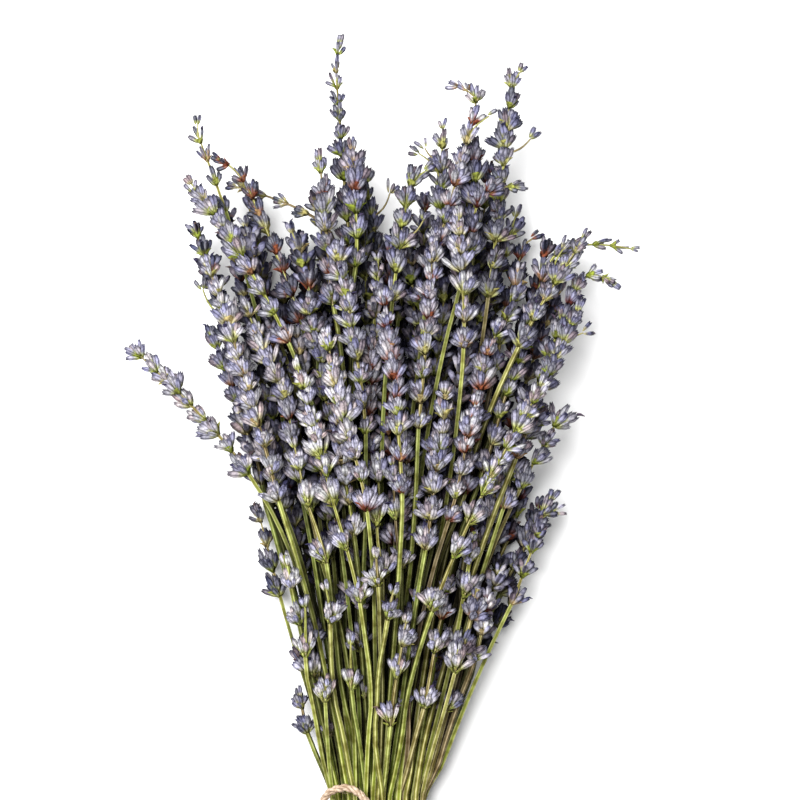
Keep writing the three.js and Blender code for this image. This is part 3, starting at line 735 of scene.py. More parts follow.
# %% Stems and twine
def stem_finish():
    """Olive or brown by luck, grooves darker partly as painted shade, paler towards the top, with
    streaks.
    """
    finish = Finish("dry stem", roughness=0.7)
    luck = finish.value("luck")
    # The groove colour is darker than the ridge partly by its own colour and partly as painted shade in
    # the grooves.
    groove = finish.ramp(
        luck,
        [
            (0.0, (0.1, 0.15, 0.012)),
            (0.6, (0.19, 0.22, 0.025)),
            (0.85, (0.18, 0.155, 0.04)),
            (1.0, (0.1, 0.07, 0.03)),
        ],
    )
    ridge = finish.ramp(
        luck,
        [
            (0.0, (0.4, 0.44, 0.14)),
            (0.6, (0.56, 0.57, 0.22)),
            (0.8, (0.54, 0.48, 0.25)),
            (1.0, (0.4, 0.31, 0.19)),
        ],
    )
    lines = finish.ramp(finish.value("rib"), [(0.35, BLACK), (0.9, WHITE)])
    body = finish.blend(lines, groove, ridge)
    pale = finish.ramp(finish.value("along"), [(0.6, BLACK), (1.0, (0.12, 0.12, 0.12))])
    body = finish.blend(pale, body, (0.6, 0.58, 0.3))
    streaks = finish.ramp(finish.grain(scale=260, detail=5), [(0.36, (0.5, 0.46, 0.36)), (0.58, WHITE)])
    return finish.paint(finish.times(body, streaks), bump_scale=1200)


def jute_finish():
    """Straw by luck, a little darker between the fibres."""
    finish = Finish("jute", roughness=0.95)
    strand = finish.ramp(finish.value("luck"), [(0.0, (0.47, 0.35, 0.26)), (1.0, (0.68, 0.54, 0.42))])
    lines = finish.ramp(finish.value("rib"), [(0.0, (0.72, 0.7, 0.66)), (1.0, WHITE)])
    fibres = finish.ramp(finish.grain(scale=800, detail=5), [(0.38, (0.6, 0.54, 0.48)), (0.6, WHITE)])
    return finish.paint(finish.times(finish.times(strand, lines), fibres), bump_scale=2200)


CALYX, BRACT, PETAL, STEM = range(4)
finishes = [calyx_finish(), bract_finish(), petal_finish(), stem_finish()]
print("finishes:", [m.name for m in finishes])

# %% [markdown]
# ## One calyx, modelled once and used thousands of times
# A calyx is a small tube with ridges that ends in short teeth round a dark mouth. A few dozen
# faces are enough, because it is about six millimetres long. A ring of edges is pulled up and
# scaled from ring to ring, every second corner is pushed in as a furrow, and the last ring
# goes back down inside as the mouth. Spikes deep in the bunch take a plainer one.

# %% Helpers for small shapes
VALUES = ("rib", "along", "luck", "kin", "tone", "painted_shade")


def new_shape():
    bm = bmesh.new()
    for name in VALUES:
        bm.verts.layers.float.new(name)
    return bm


def pull_ring(bm, edges, matrix):
    """Extrudes a ring of edges and moves the new ring by a matrix."""
    made = bmesh.ops.extrude_edge_only(bm, edges=edges)["geom"]
    ring = [g for g in made if isinstance(g, bmesh.types.BMVert)]
    bmesh.ops.transform(bm, matrix=matrix, verts=ring)
    return ring, [g for g in made if isinstance(g, bmesh.types.BMEdge)]


def turned_shape(profile, sides, furrow):
    """A shape turned round +Z with ridges. The profile is (height, radius) from the root up."""
    bm = new_shape()
    height, radius = profile[0]
    ring = bmesh.ops.create_circle(bm, segments=sides, radius=radius)["verts"]
    bmesh.ops.translate(bm, vec=(0, 0, height), verts=ring)
    edges = bm.edges[:]
    rings = [ring]
    for next_height, next_radius in profile[1:]:
        size = next_radius / radius
        move = Matrix.Translation((0, 0, next_height)) @ Matrix.Diagonal((size, size, 1, 1))
        ring, edges = pull_ring(bm, edges, move @ Matrix.Translation((0, 0, -height)))
        rings.append(ring)
        height, radius = next_height, next_radius
    for ring in rings:
        for v in ring:
            if round(math.atan2(v.co.y, v.co.x) / (2 * math.pi / sides)) % 2:
                v.co.x *= furrow
                v.co.y *= furrow
            else:
                v[bm.verts.layers.float["rib"]] = 1
    return bm, rings


def finish_shape(bm, name, material):
    """Closes a shape, sets its values and keeps it as a mesh to copy from."""
    bmesh.ops.holes_fill(bm, edges=bm.edges[:])
    bmesh.ops.recalc_face_normals(bm, faces=bm.faces[:])
    top = max(v.co.z for v in bm.verts)
    for v in bm.verts:
        v[bm.verts.layers.float["along"]] = clamp01(v.co.z / top)
    for face in bm.faces:
        face.smooth = True
        face.material_index = material
    mesh = bpy.data.meshes.new(name)
    bm.to_mesh(mesh)
    bm.free()
    return mesh


# %% The calyx in six states, and a plainer one
CALYX_SIDES = 8
FURROW = 0.78
PLAIN_SIDES = 6
PLAIN_FURROW = 0.86

# Outlines from the root up, as (share of the length, share of the radius). The full calyx
# goes on with its rim and then the floor of its mouth.
CALYX_OUTLINE = [(0, 0.24), (0.28, 0.78), (0.72, 1)]
PLAIN_OUTLINE = [(0, 0.25), (0.35, 0.9), (0.75, 1), (1, 0.5)]
RIM = 3
RIM_HEIGHT = 0.97
MOUTH_FLOOR_HEIGHT = 0.8
MOUTH_FLOOR_SHARE = 0.45
SHUT_MOUTH = 0.42
WIDE_MOUTH = 0.86
TOOTH_RISE = 0.09
TOOTH_GAP = 0.05


def bend_shape(bm, length, bow):
    for v in bm.verts:
        v.co.x += bow * length * (v.co.z / length) ** 2


def calyx_shape(name, length, width, openness, bow):
    """openness is 0 for a shut bud and 1 for a wide mouth; bow bends it outwards."""
    r = width / 2
    mouth = mix(SHUT_MOUTH, WIDE_MOUTH, openness)
    profile = [(height * length, share * r) for height, share in CALYX_OUTLINE]
    profile.append((RIM_HEIGHT * length, mouth * r))
    profile.append((MOUTH_FLOOR_HEIGHT * length, MOUTH_FLOOR_SHARE * mouth * r))
    bm, rings = turned_shape(profile, CALYX_SIDES, FURROW)
    rib = bm.verts.layers.float["rib"]
    for v in rings[RIM]:
        v.co.z += length * (TOOTH_RISE if v[rib] else -TOOTH_GAP)
    bend_shape(bm, length, bow)
    return finish_shape(bm, name, CALYX)


def plain_calyx_shape(name, length, width, bow):
    profile = [(height * length, share * width / 2) for height, share in PLAIN_OUTLINE]
    bm, rings = turned_shape(profile, PLAIN_SIDES, PLAIN_FURROW)
    bend_shape(bm, length, bow)
    return finish_shape(bm, name, CALYX)


calyxes = [
    calyx_shape("calyx_shut", 5.5, 2.2, 0.0, 0.02),
    calyx_shape("calyx_half", 5.6, 2.5, 0.3, -0.08),
    calyx_shape("calyx_open", 5.4, 2.6, 0.8, -0.04),
    calyx_shape("calyx_bent", 5.8, 2.4, 0.2, 0.12),
    calyx_shape("calyx_stout", 5.1, 2.8, 0.4, -0.03),
    calyx_shape("calyx_slim", 6.1, 2.1, 0.1, -0.14),
]
plain_calyxes = [
    plain_calyx_shape("calyx_plain", 5.6, 2.4, -0.05),
    plain_calyx_shape("calyx_plain_bent", 5.8, 2.2, 0.1),
]
print("faces of one calyx:", len(calyxes[0].polygons))
print("faces of a plain one:", len(plain_calyxes[0].polygons))

# %% [markdown]
# ## Bracts, petals and stalks
# Under each whorl stands a pair of papery bracts, green on some stems and rust brown on
# others. A few calyces still hold a shrivelled petal. Both are thin leaves: a strip of a
# grid that is tapered, cupped and given a little thickness. Where a whorl is loose, each
# calyx shows its short stalk.

# %% Thin shapes
LEAF_THICKNESS = 0.18
LEAF_ROOT_WIDTH = 0.35
LEAF_SWELL = 2.6
LEAF_POINT = 0.8
LEAF_TIP_WIDTH = 0.1
LEAF_CROSS_CUP = 1.2
STALK_OUTLINE = [(0, 0.3), (1, 0.46)]
STALK_SIDES = 4


def leaf_shape(name, length, width, cup, material):
    """A pointed leaf that rises from the origin along +Z and cups towards -X."""
    bm = new_shape()
    bmesh.ops.create_grid(bm, x_segments=2, y_segments=3, size=0.5)
    for v in bm.verts:
        along, across = v.co.y + 0.5, v.co.x
        wide = width * (LEAF_ROOT_WIDTH + LEAF_SWELL * along) * (1 - along) ** LEAF_POINT
        wide += LEAF_TIP_WIDTH
        lift = cup * length * along**2 - LEAF_CROSS_CUP * cup * wide * (2 * across) ** 2
        v.co = (lift, across * wide, along * length)
        v[bm.verts.layers.float["rib"]] = 1 - abs(2 * across)
    bmesh.ops.solidify(bm, geom=bm.faces[:], thickness=LEAF_THICKNESS)
    return finish_shape(bm, name, material)


def stalk_shape():
    """A stalk one unit long, thicker at the calyx."""
    bm, rings = turned_shape(STALK_OUTLINE, STALK_SIDES, 1)
    return finish_shape(bm, "stalk", STEM)


bract = leaf_shape("bract", 3.4, 3.0, 0.3, BRACT)
petal = leaf_shape("petal", 2.3, 1.4, 0.45, PETAL)
stalk = stalk_shape()
print("faces of a bract:", len(bract.polygons), "and of a stalk:", len(stalk.polygons))


# %% [markdown]
# ## Growing a spike
# A spike is a thin square axis with a whorl every five to seven millimetres. Each whorl is a
# cup: an outer ring of calyces leans out, and two inner rings stand up inside it. The lowest
# whorls of a spike stand apart, and its end is thin, with few calyces. All copies go into one
# mesh for each spike, which then takes the place of the plain solid. A seed for each spike
# keeps every run the same.

# %% Frames along a line
FRAME_REACH = 1.5
LINE_STEP = 2
TAIL_REACH = 0.6
TAIL_STOPS = 12


class Line:
    """A polyline in millimetres that can be asked for a point and a frame at a distance."""

    def __init__(self, points):
        self.points = points
        steps = [(b - a).length for a, b in zip(points, points[1:])]
        self.marks = np.concatenate([[0], np.cumsum(steps)])
        self.length = float(self.marks[-1])

    def point(self, d):
        i = int(np.clip(np.searchsorted(self.marks, d) - 1, 0, len(self.points) - 2))
        run = self.marks[i + 1] - self.marks[i]
        return self.points[i].lerp(self.points[i + 1], (d - self.marks[i]) / run)

    def mark_of_y(self, y):
        return float(np.interp(y, [p.y for p in self.points], self.marks))

    def frame(self, d):
        """A matrix whose Z runs along the line, with X to the left and Y up."""
        ahead, behind = min(d + FRAME_REACH, self.length), max(d - FRAME_REACH, 0)
        along = (self.point(ahead) - self.point(behind)).normalized()
        left = Vector((0, 0, 1)).cross(along).normalized()
        up = along.cross(left)
        turn = Matrix((left, up, along)).transposed().to_4x4()
        return Matrix.Translation(self.point(d)) @ turn


def carried_frames(points):
    """Frames along a line, with Z along it, that turn no more than the line does."""
    frames = []
    along = (points[1] - points[0]).normalized()
    turn = along.to_track_quat("Z", "Y")
    for i, point in enumerate(points):
        ahead = (points[min(i + 1, len(points) - 1)] - points[max(i - 1, 0)]).normalized()
        turn = along.rotation_difference(ahead) @ turn
        along = ahead
        frames.append(Matrix.Translation(point) @ turn.to_matrix().to_4x4())
    return frames


def stem_line(stem):
    """The whole stem, from its cut end to the tip of its spike and round its tail."""
    tip_y = stem["tip"][1]
    ys = np.linspace(stem["cut_y"], tip_y, int((tip_y - stem["cut_y"]) / LINE_STEP))
    points = [path_point(stem, y) for y in ys]
    if stem["tail"]:
        tip = points[-1]
        along = (tip - points[-2]).normalized()
        tail_x, tail_y, *given_reach = stem["tail"]
        end = tip + Vector((tail_x, tail_y, 0))
        reach_share = given_reach[0] if given_reach else TAIL_REACH
        knee = tip + along * ((end - tip).length * reach_share)
        for t in np.linspace(0, 1, TAIL_STOPS)[1:]:
            points.append(tip.lerp(knee, t).lerp(knee.lerp(end, t), t))
    return Line(points)


# %% Copies and tubes
# A square stem has eight corners round it: four edges, with a groove between each two.
GROOVE = 0.66
SQUARE = [(math.radians(45 * i), 1.0 if i % 2 == 0 else GROOVE, 1.0 - i % 2) for i in range(8)]


def set_values(bm, verts, **values):
    for name, value in values.items():
        layer = bm.verts.layers.float[name]
        for v in verts:
            v[layer] = value


def stamp(bm, shape, matrix, **values):
    """Adds one copy of a shape to a growing mesh."""
    first = len(bm.verts)
    bm.from_mesh(shape)
    bm.verts.ensure_lookup_table()
    fresh = bm.verts[first:]
    bmesh.ops.transform(bm, matrix=matrix, verts=fresh)
    set_values(bm, fresh, **values)


def add_tube(bm, frames, radii, section, material, **values):
    """A tube through frames. The section lists (angle, radius share, rib) round the tube."""
    rib, along = bm.verts.layers.float["rib"], bm.verts.layers.float["along"]
    first_face, first_vert = len(bm.faces), len(bm.verts)
    ring = []
    for angle, share, height in section:
        r = radii[0] * share
        v = bm.verts.new(frames[0] @ Vector((r * math.cos(angle), r * math.sin(angle), 0)))
        v[rib] = height
        ring.append(v)
    edges = bm.faces.new(reversed(ring)).edges[:]
    for i in range(1, len(frames)):
        size = radii[i] / radii[i - 1]
        scale = Matrix.Diagonal((size, size, 1, 1))
        ring, edges = pull_ring(bm, edges, frames[i] @ scale @ frames[i - 1].inverted())
        for v in ring:
            v[along] = i / (len(frames) - 1)
    bmesh.ops.contextual_create(bm, geom=edges)
    bm.faces.ensure_lookup_table()
    bm.verts.ensure_lookup_table()
    fresh = bm.faces[first_face:]
    bmesh.ops.recalc_face_normals(bm, faces=fresh)
    for face in fresh:
        face.smooth = True
        face.material_index = material
    set_values(bm, bm.verts[first_vert:], **values)


# %% One calyx on its axis
# Nothing comes closer to the table than this. The corners stand for the end of a calyx.
LEAST_HEIGHT = 0.6
CALYX_CORNERS = (Vector((-1.2, 0, 6)), Vector((1.2, 0, 6)))

# A pair of numbers is the least and the most of a random draw. A drift goes to either side.
CALYX_WIDTHS = (0.88, 1.12)
CALYX_HEIGHTS = (0.84, 1.14)
CALYX_ROLL = 0.5
SEAT_RADIUS = 0.8
UPRIGHT = 0.1
TONE_DRIFT = 0.2
PETAL_CHANCE = 0.06
PETAL_SEAT = Matrix.Translation((0, 0, 4.6))

# A stalk runs on a little into its calyx, and has the pale green of a stem's upper end.
STALK_OVERLAP = 0.5
STALK_ALONG = 0.8


def drift(rng, most):
    """A random number to either side of nought."""
    return rng.uniform(-most, most)


def add_calyx(bm, rng, socket, turn, spread, size, look, stalk_length=0.0):
    """One calyx on the axis, turned round it and leaning out from it, clear of the table."""
    shape = rng.choice(look["shapes"])
    wide = look["slimness"] * size * rng.uniform(*CALYX_WIDTHS)
    high = size * rng.uniform(*CALYX_HEIGHTS)
    roll, luck, has_petal = drift(rng, CALYX_ROLL), rng.random(), rng.random() < PETAL_CHANCE
    out = Matrix.Rotation(turn, 4, "Z") @ Matrix.Translation((SEAT_RADIUS * size, 0, 0))
    lift = Matrix.Translation((0, 0, stalk_length)) @ Matrix.Rotation(roll, 4, "Z")
    for lean in (spread, spread / 2, UPRIGHT):
        root = socket @ out @ Matrix.Rotation(lean, 4, "Y")
        place = root @ lift @ Matrix.Diagonal((wide, wide, high, 1))
        if min((place @ corner).z for corner in CALYX_CORNERS) > LEAST_HEIGHT:
            break
    else:
        return
    tone = clamp01(look["tone"] + drift(rng, TONE_DRIFT))
    stamp(bm, shape, place, luck=luck, kin=look["kin"], tone=tone)
    if stalk_length:
        stretch = Matrix.Scale(stalk_length + STALK_OVERLAP, 4, (0, 0, 1))
        stamp(bm, stalk, root @ stretch, luck=luck, along=STALK_ALONG)
    if has_petal:
        stamp(bm, petal, place @ PETAL_SEAT, luck=luck, kin=look["kin"])


# %% A whorl and its bracts
# Each ring of a whorl: (share of the calyces, least and most lean in degrees, seat height).
WHORL_RINGS = [(0.48, 24, 50, -0.3), (0.32, 10, 30, 0.6), (0.2, 2, 14, 1.5)]
LOOSE_RINGS = [(0.6, 14, 40, 0.0), (0.4, 2, 20, 0.8)]
WHORL_TILT = math.radians(15)
RING_COUNTS = (0.85, 1.15)
RING_SIZES = (0.84, 1.08)
PLACE_DRIFT = 0.4
SEAT_DRIFT = 1.5
STALK_LENGTHS = (1.0, 2.2)

# Now and then one calyx strays from its whorl on a stalk of its own.
STRAY_CHANCE = 0.1
STRAY_LEANS = (45, 75)
STRAY_SIZE = 0.8
STRAY_STALK_LENGTHS = (1, 2.4)

BRACT_SEAT_RADIUS = 0.8
BRACT_DROP = 0.4
BRACT_TURN_DRIFT = 0.5
BRACT_LEANS = (12, 32)
BRACT_SIZES = (0.9, 1.25)
LOOSE_BRACT = 0.6
BRACT_KIN_DRIFT = 0.12
BRACT_TIP = Vector((0, 0, 3.7))


def add_bracts(bm, rng, socket, size, look):
    """A pair of bracts under a whorl, each pair a quarter turn on from the one before."""
    for side in (0, 1):
        turn = math.pi * (look["quarter"] / 2 + side) + drift(rng, BRACT_TURN_DRIFT)
        seat = Matrix.Translation((BRACT_SEAT_RADIUS * size, 0, -BRACT_DROP))
        out = Matrix.Rotation(turn, 4, "Z") @ seat
        lean = Matrix.Rotation(math.radians(rng.uniform(*BRACT_LEANS)), 4, "Y")
        scale = size * rng.uniform(*BRACT_SIZES) * look["bract_size"]
        kin = clamp01(look["kin"] + drift(rng, BRACT_KIN_DRIFT))
        place = socket @ out @ lean @ Matrix.Scale(scale, 4)
        if (place @ BRACT_TIP).z > LEAST_HEIGHT:
            stamp(bm, bract, place, luck=rng.random(), kin=kin, tone=look["tone"])


def add_whorl(bm, rng, socket, size, calyx_count, look, loose):
    """A cup of calyces with a pair of bracts under it."""
    start = rng.uniform(0, 2 * math.pi)
    socket = socket @ Matrix.Rotation(drift(rng, WHORL_TILT), 4, "X")
    socket = socket @ Matrix.Rotation(drift(rng, WHORL_TILT), 4, "Y")
    for ring, (share, low, high, seat_height) in enumerate(LOOSE_RINGS if loose else WHORL_RINGS):
        count = max(1, round(calyx_count * share * rng.uniform(*RING_COUNTS)))
        for k in range(count):
            turn = start + 2 * math.pi * (k + ring / 2 + drift(rng, PLACE_DRIFT)) / count
            spread = math.radians(rng.uniform(low, high))
            rise = size * (seat_height + rng.uniform(0, SEAT_DRIFT))
            seat = socket @ Matrix.Translation((0, 0, rise))
            stalk_length = rng.uniform(*STALK_LENGTHS) if loose else 0.0
            calyx_size = size * rng.uniform(*RING_SIZES)
            add_calyx(bm, rng, seat, turn, spread, calyx_size, look, stalk_length)
    if rng.random() < STRAY_CHANCE:
        turn, spread = rng.uniform(0, 2 * math.pi), math.radians(rng.uniform(*STRAY_LEANS))
        stalk_length = rng.uniform(*STRAY_STALK_LENGTHS)
        add_calyx(bm, rng, socket, turn, spread, STRAY_SIZE * size, look, stalk_length)
    add_bracts(bm, rng, socket, size, look)


# %% Where the whorls stand
# From whorl to whorl at the base and at the tip, and what the lowest three gaps of a loose
# spike add to that.
WHORL_PITCH = 6.9
WHORL_PITCH_AT_TIP = 5.4
LOW_GAPS = (13, 8, 4)
PITCH_SHARES = (0.86, 1.12)
THIN_PITCH_SHARES = (0.9, 1.45)

# The last few calyces stand in a cluster, this far below the very tip.
CLUSTER_AT_TIP = 4.6


def whorl_stops(rng, length, looseness, thin_from):
    """Distances of the whorls from the base. The lowest stand apart, and so does a thin end."""
    stops = [0.0]
    while True:
        low_gap = LOW_GAPS[len(stops) - 1] if len(stops) <= len(LOW_GAPS) else 0
        share = stops[-1] / length
        step = mix(WHORL_PITCH, WHORL_PITCH_AT_TIP, share) + looseness * low_gap
        step *= rng.uniform(*(THIN_PITCH_SHARES if share > thin_from else PITCH_SHARES))
        if stops[-1] + step > length - CLUSTER_AT_TIP:
            break
        stops.append(stops[-1] + step)
    return stops


# %% The spike as a whole
FULL_SIZE = 1.04
WHORL_SIZES = (0.82, 1.14)

# A spike looser than this has loose whorls over this share of it, with stalks and few calyces.
LOOSE_FROM = 0.6
LOOSE_SHARE = 0.6
LOOSE_CALYCES = 11
LOOSE_SLIMNESS = 0.95

# The calyces of the cluster at the tip.
CLUSTER_CALYCES = 3
CLUSTER_TURN = 2.1
CLUSTER_TURN_DRIFT = 0.3
CLUSTER_LEANS = (4, 22)
CLUSTER_SIZE = 0.9

# From which share of a spike it gets thin, what share of the calyces is left at its end and
# how large they are there. Some of the shown heads, by number, are thinner than the rest.
THIN_END = (0.7, 0.5, 0.84)
THIN_ENDS = {
    2: (0.8, 0.3, 0.75),
    3: (-0.6, 0.25, 0.7),
    4: (0.35, 0.28, 0.72),
    5: (-0.6, 0.25, 0.7),
    8: (0.1, 0.4, 0.8),
    9: (0.0, 0.5, 0.75),
    10: (0.35, 0.25, 0.7),
    12: (0.55, 0.4, 0.85),
    13: (0.5, 0.35, 0.8),
    14: (0.35, 0.25, 0.75),
    15: (0.6, 0.3, 0.7),
    16: (0.7, 0.2, 0.68),
    17: (0.3, 0.4, 0.8),
    18: (0.3, 0.4, 0.85),
    19: (0.2, 0.35, 0.8),
    20: (0.2, 0.12, 0.55),
    21: (0.45, 0.28, 0.8),
    22: (0.55, 0.2, 0.6),
}

# Kin runs from green over straw to rust. Most whorls of a spike share one, and about a third
# are odd.
KIN_CHOICES = (0.05, 0.15, 0.25, 0.35, 0.5, 0.82)
LOW_KIN_CHOICES = (0.1, 0.2, 0.3)
ODD_KIN_CHANCE = 0.35


def grow_spike(bm, rng, line, base, look, calyx_count, looseness, thin_end):
    """Whorls from a distance along a stem's line to its end."""
    length = line.length - base
    thin_from, thin_share, end_size = thin_end
    is_loose = looseness > LOOSE_FROM
    spike_kin = rng.choice(LOW_KIN_CHOICES if is_loose else KIN_CHOICES)
    for number, d in enumerate(whorl_stops(rng, length, looseness, thin_from)):
        thin = smooth_step((d / length - thin_from) / (1 - thin_from))
        size = mix(FULL_SIZE, end_size, thin) * rng.uniform(*WHORL_SIZES)
        loose = is_loose and d < LOOSE_SHARE * length
        look["quarter"] = number % 2
        look["kin"] = spike_kin if loose or rng.random() > ODD_KIN_CHANCE else rng.random()
        look["slimness"] = LOOSE_SLIMNESS if loose else 1.0
        look["bract_size"] = LOOSE_BRACT if loose else 1.0
        count = (LOOSE_CALYCES if loose else calyx_count) * mix(1, thin_share, thin)
        add_whorl(bm, rng, line.frame(base + d), size, count, look, loose)
    tip_socket = line.frame(line.length - CLUSTER_AT_TIP * end_size)
    for k in range(CLUSTER_CALYCES):
        spread = math.radians(rng.uniform(*CLUSTER_LEANS))
        turn = CLUSTER_TURN * k + drift(rng, CLUSTER_TURN_DRIFT)
        add_calyx(bm, rng, tip_socket, turn, spread, CLUSTER_SIZE * end_size, look)


# %% [markdown]
# ## Painted shade deep in the bunch
# In a real bunch hardly any light comes back from the depths. Light that a renderer bounces
# between pale calyces keeps them brighter than that. So every point also gets a value for how
# much lies over it, from the paths of the spikes and stems above, and its colour is darkened by
# it as painted shade. A shader could measure this with rays, but a value on the mesh stays the
# same from any side, and it goes with the mesh.

# %% What lies over each point
# A bare stem carries a short spike of this length, because whorls stand low on some stems.
BARE_SPIKE = 44

# How far to each side a spike and a stem keep the light off, and how much each counts.
SPIKE_COVER = (7.5, 0.85)
STEM_COVER = (4.0, 1.1)
COVER_STEP = 4

# A cover starts to count when its middle is this far below the point, and counts in full when
# it is COVER_DEPTH above that.
COVER_RISE = 0.8
COVER_DEPTH = 5.0
COVER_STRENGTH = 1.1

# Near the cut ends light comes in from below, so painted shade fades over this length and down to this
# share.
CUT_LIGHT_RUN = 30
CUT_PAINTED_SHADE = 0.35


def spike_base_y(stem):
    return stem["base"][1] - (BARE_SPIKE if stem["head"] == BARE else 0)


def list_covers(stems):
    """For each step along Y, all that crosses it, as rows of (x, z, reach, weight)."""
    covers = {}
    for stem in stems:
        first, last = math.ceil(stem["cut_y"] / COVER_STEP), int(stem["tip"][1] / COVER_STEP)
        for k in range(first, last + 1):
            place = path_point(stem, k * COVER_STEP)
            kind = STEM_COVER if k * COVER_STEP < spike_base_y(stem) else SPIKE_COVER
            covers.setdefault(k, []).append((place.x, place.z, *kind))
    return {k: np.array(rows) for k, rows in covers.items()}


def painted_shade_of(points):
    """Painted shade, 0 in the open and 1 deep in the bunch, from how much lies over each point."""
    painted_shade = np.zeros(len(points))
    steps = np.round(points[:, 1] / COVER_STEP).astype(int)
    for k in np.unique(steps):
        if k in covers:
            here = steps == k
            x, z, reach, weight = covers[k].T[:, None]
            beside = np.clip(1 - abs(points[here, 0, None] - x) / reach, 0, 1)
            over = np.clip((z + COVER_RISE - points[here, 2, None]) / COVER_DEPTH, 0, 1)
            painted_shade[here] = 1 - np.exp(-COVER_STRENGTH * (beside * over * weight).sum(axis=1))
    inside = np.clip((points[:, 1] - CUT_END_Y) / CUT_LIGHT_RUN, 0, 1)
    return painted_shade * (CUT_PAINTED_SHADE + (1 - CUT_PAINTED_SHADE) * inside)


covers = list_covers(stems + fill_stems)
print("covers over the middle:", len(covers[int(FAN_OPEN_Y / COVER_STEP)]))


# %% A finished piece
def add_piece(bm, name, materials):
    """Turns a mesh in millimetres into a finished piece of the object, in metres."""
    mesh = bpy.data.meshes.new(name)
    bm.to_mesh(mesh)
    bm.free()
    places = np.empty(3 * len(mesh.vertices), dtype=np.float32)
    mesh.vertices.foreach_get("co", places)
    # Painted shade for each point, from how much lies over it.
    painted_shade = painted_shade_of(places.reshape(-1, 3)).astype(np.float32)
    mesh.attributes["painted_shade"].data.foreach_set("value", painted_shade)
    mesh.transform(Matrix.Scale(MM, 4))
    for material in materials:
        mesh.materials.append(material)
    piece = bpy.data.objects.new(name, mesh)
    bpy.context.collection.objects.link(piece)
    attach(piece, "root")
    return piece


# %% [markdown]
# ## The spikes in their places
# No two spikes dried alike. Some went a dark slate, and those low on the stems bleached almost
# white. Those in the depths get a darker tone than the ones on top, as painted shade. The tone
# comes from where a spike lies, with a little luck. Spikes that show are grown from the six full
# calyces, and hidden ones from the plain ones.

# %% The tone of a spike
# Numbers of the heads that dried to a dark slate.
SLATE_HEADS = (3, 4, 5, 8, 12, 18, 19, 26)
SLATE_TONES = (0, 0.15)

# Spikes low on the right are dark too.
DARK_X, DARK_Y = 35, 100
DARK_TONES = (0.02, 0.3)

# Loose spikes low on the stems are bleached. Others that start low are pale where they lie in
# the upper half of the bunch, and deep ones get a darker tone as painted shade.
BLEACHED_TONES = (0.7, 0.98)
PALE_BASE_Y = 116
PALE_TONES = (0.6, 0.9)
DEEP = -0.3
DEEP_PAINTED_SHADE_TONES = (0.1, 0.45)

# The rest, and how much darker they are where they reach the crown.
TONES = (0.35, 0.75)
CROWN_Y = 210
CROWN_SHADE = 0.15


def pick_tone(rng, stem, number, low):
    """The tone of a spike, from 0 for slate to 1 for bleached, lower as painted shade for deep ones."""
    base_x, base_y = stem["base"]
    if number + 1 in SLATE_HEADS:
        return rng.uniform(*SLATE_TONES)
    if base_x > DARK_X and base_y < DARK_Y:
        return rng.uniform(*DARK_TONES)
    if low:
        return rng.uniform(*BLEACHED_TONES)
    if base_y < PALE_BASE_Y and stem["depth"] > 0:
        return rng.uniform(*PALE_TONES)
    if stem["depth"] < DEEP:
        return rng.uniform(*DEEP_PAINTED_SHADE_TONES)
    return rng.uniform(*TONES) - (CROWN_SHADE if stem["tip"][1] > CROWN_Y else 0)


# %% All the spikes
AXIS_RADIUS = 0.8
AXIS_TIP_RADIUS = 0.28
AXIS_STEP = 4
LEAST_AXIS_STOPS = 4
AXIS_LUCKS = (0.6, 1)

# A spike that starts below this and isn't deeper than this has loose whorls.
LOW_BASE_Y = 96
SHALLOW = 0.25
LOOSENESS = 0.25
LOW_LOOSENESS = 1.0
WHORL_CALYCES = 13
HIDDEN_CALYCES = 10
SPIKE_SEED = 1000


def make_spike(stem, number):
    rng = random.Random(SPIKE_SEED + number)
    line = stem_line(stem)
    base = line.mark_of_y(spike_base_y(stem))
    length = line.length - base
    low = spike_base_y(stem) < LOW_BASE_Y and stem["depth"] > SHALLOW
    shown = stem["head"] in range(len(SHOWN_HEADS)) or stem["depth"] > SHALLOW
    tone = pick_tone(rng, stem, number, low)
    look = dict(tone=tone, shapes=calyxes if shown else plain_calyxes)
    calyx_count = WHORL_CALYCES if shown else HIDDEN_CALYCES
    looseness = LOW_LOOSENESS if low else LOOSENESS

    bm = new_shape()
    stop_count = max(LEAST_AXIS_STOPS, int(length / AXIS_STEP))
    stops = np.linspace(base, line.length - CLUSTER_AT_TIP / 2, stop_count)
    frames = [line.frame(d) @ Matrix.Rotation(stem["turn"], 4, "Z") for d in stops]
    radii = [mix(AXIS_RADIUS, AXIS_TIP_RADIUS, (d - base) / length) for d in stops]
    add_tube(bm, frames, radii, SQUARE, STEM, luck=rng.uniform(*AXIS_LUCKS), tone=tone)
    thin_end = THIN_ENDS.get(number + 1, THIN_END)
    grow_spike(bm, rng, line, base, look, calyx_count, looseness, thin_end)
    return bm


triangles = 0
for number, stem in enumerate(stems + fill_stems):
    name = f"head_{number + 1:02d}" if stem["head"] >= 0 else f"spike_{number + 1:02d}"
    spike = add_piece(make_spike(stem, number), "fine_" + name, finishes)
    if stem["head"] >= 0:
        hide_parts(name)
    triangles += sum(len(p.vertices) - 2 for p in spike.data.polygons)
print("spikes:", len(stems + fill_stems), "with", triangles, "triangles")

# %% [markdown]
# ## Side twigs
# Some spikes have a thin side twig with up to three small calyces at its end. It leaves the
# stem in a slight bow. The same tube and the same calyces make it, so it needs no new shape,
# and all twigs are one piece, because each alone is tiny.

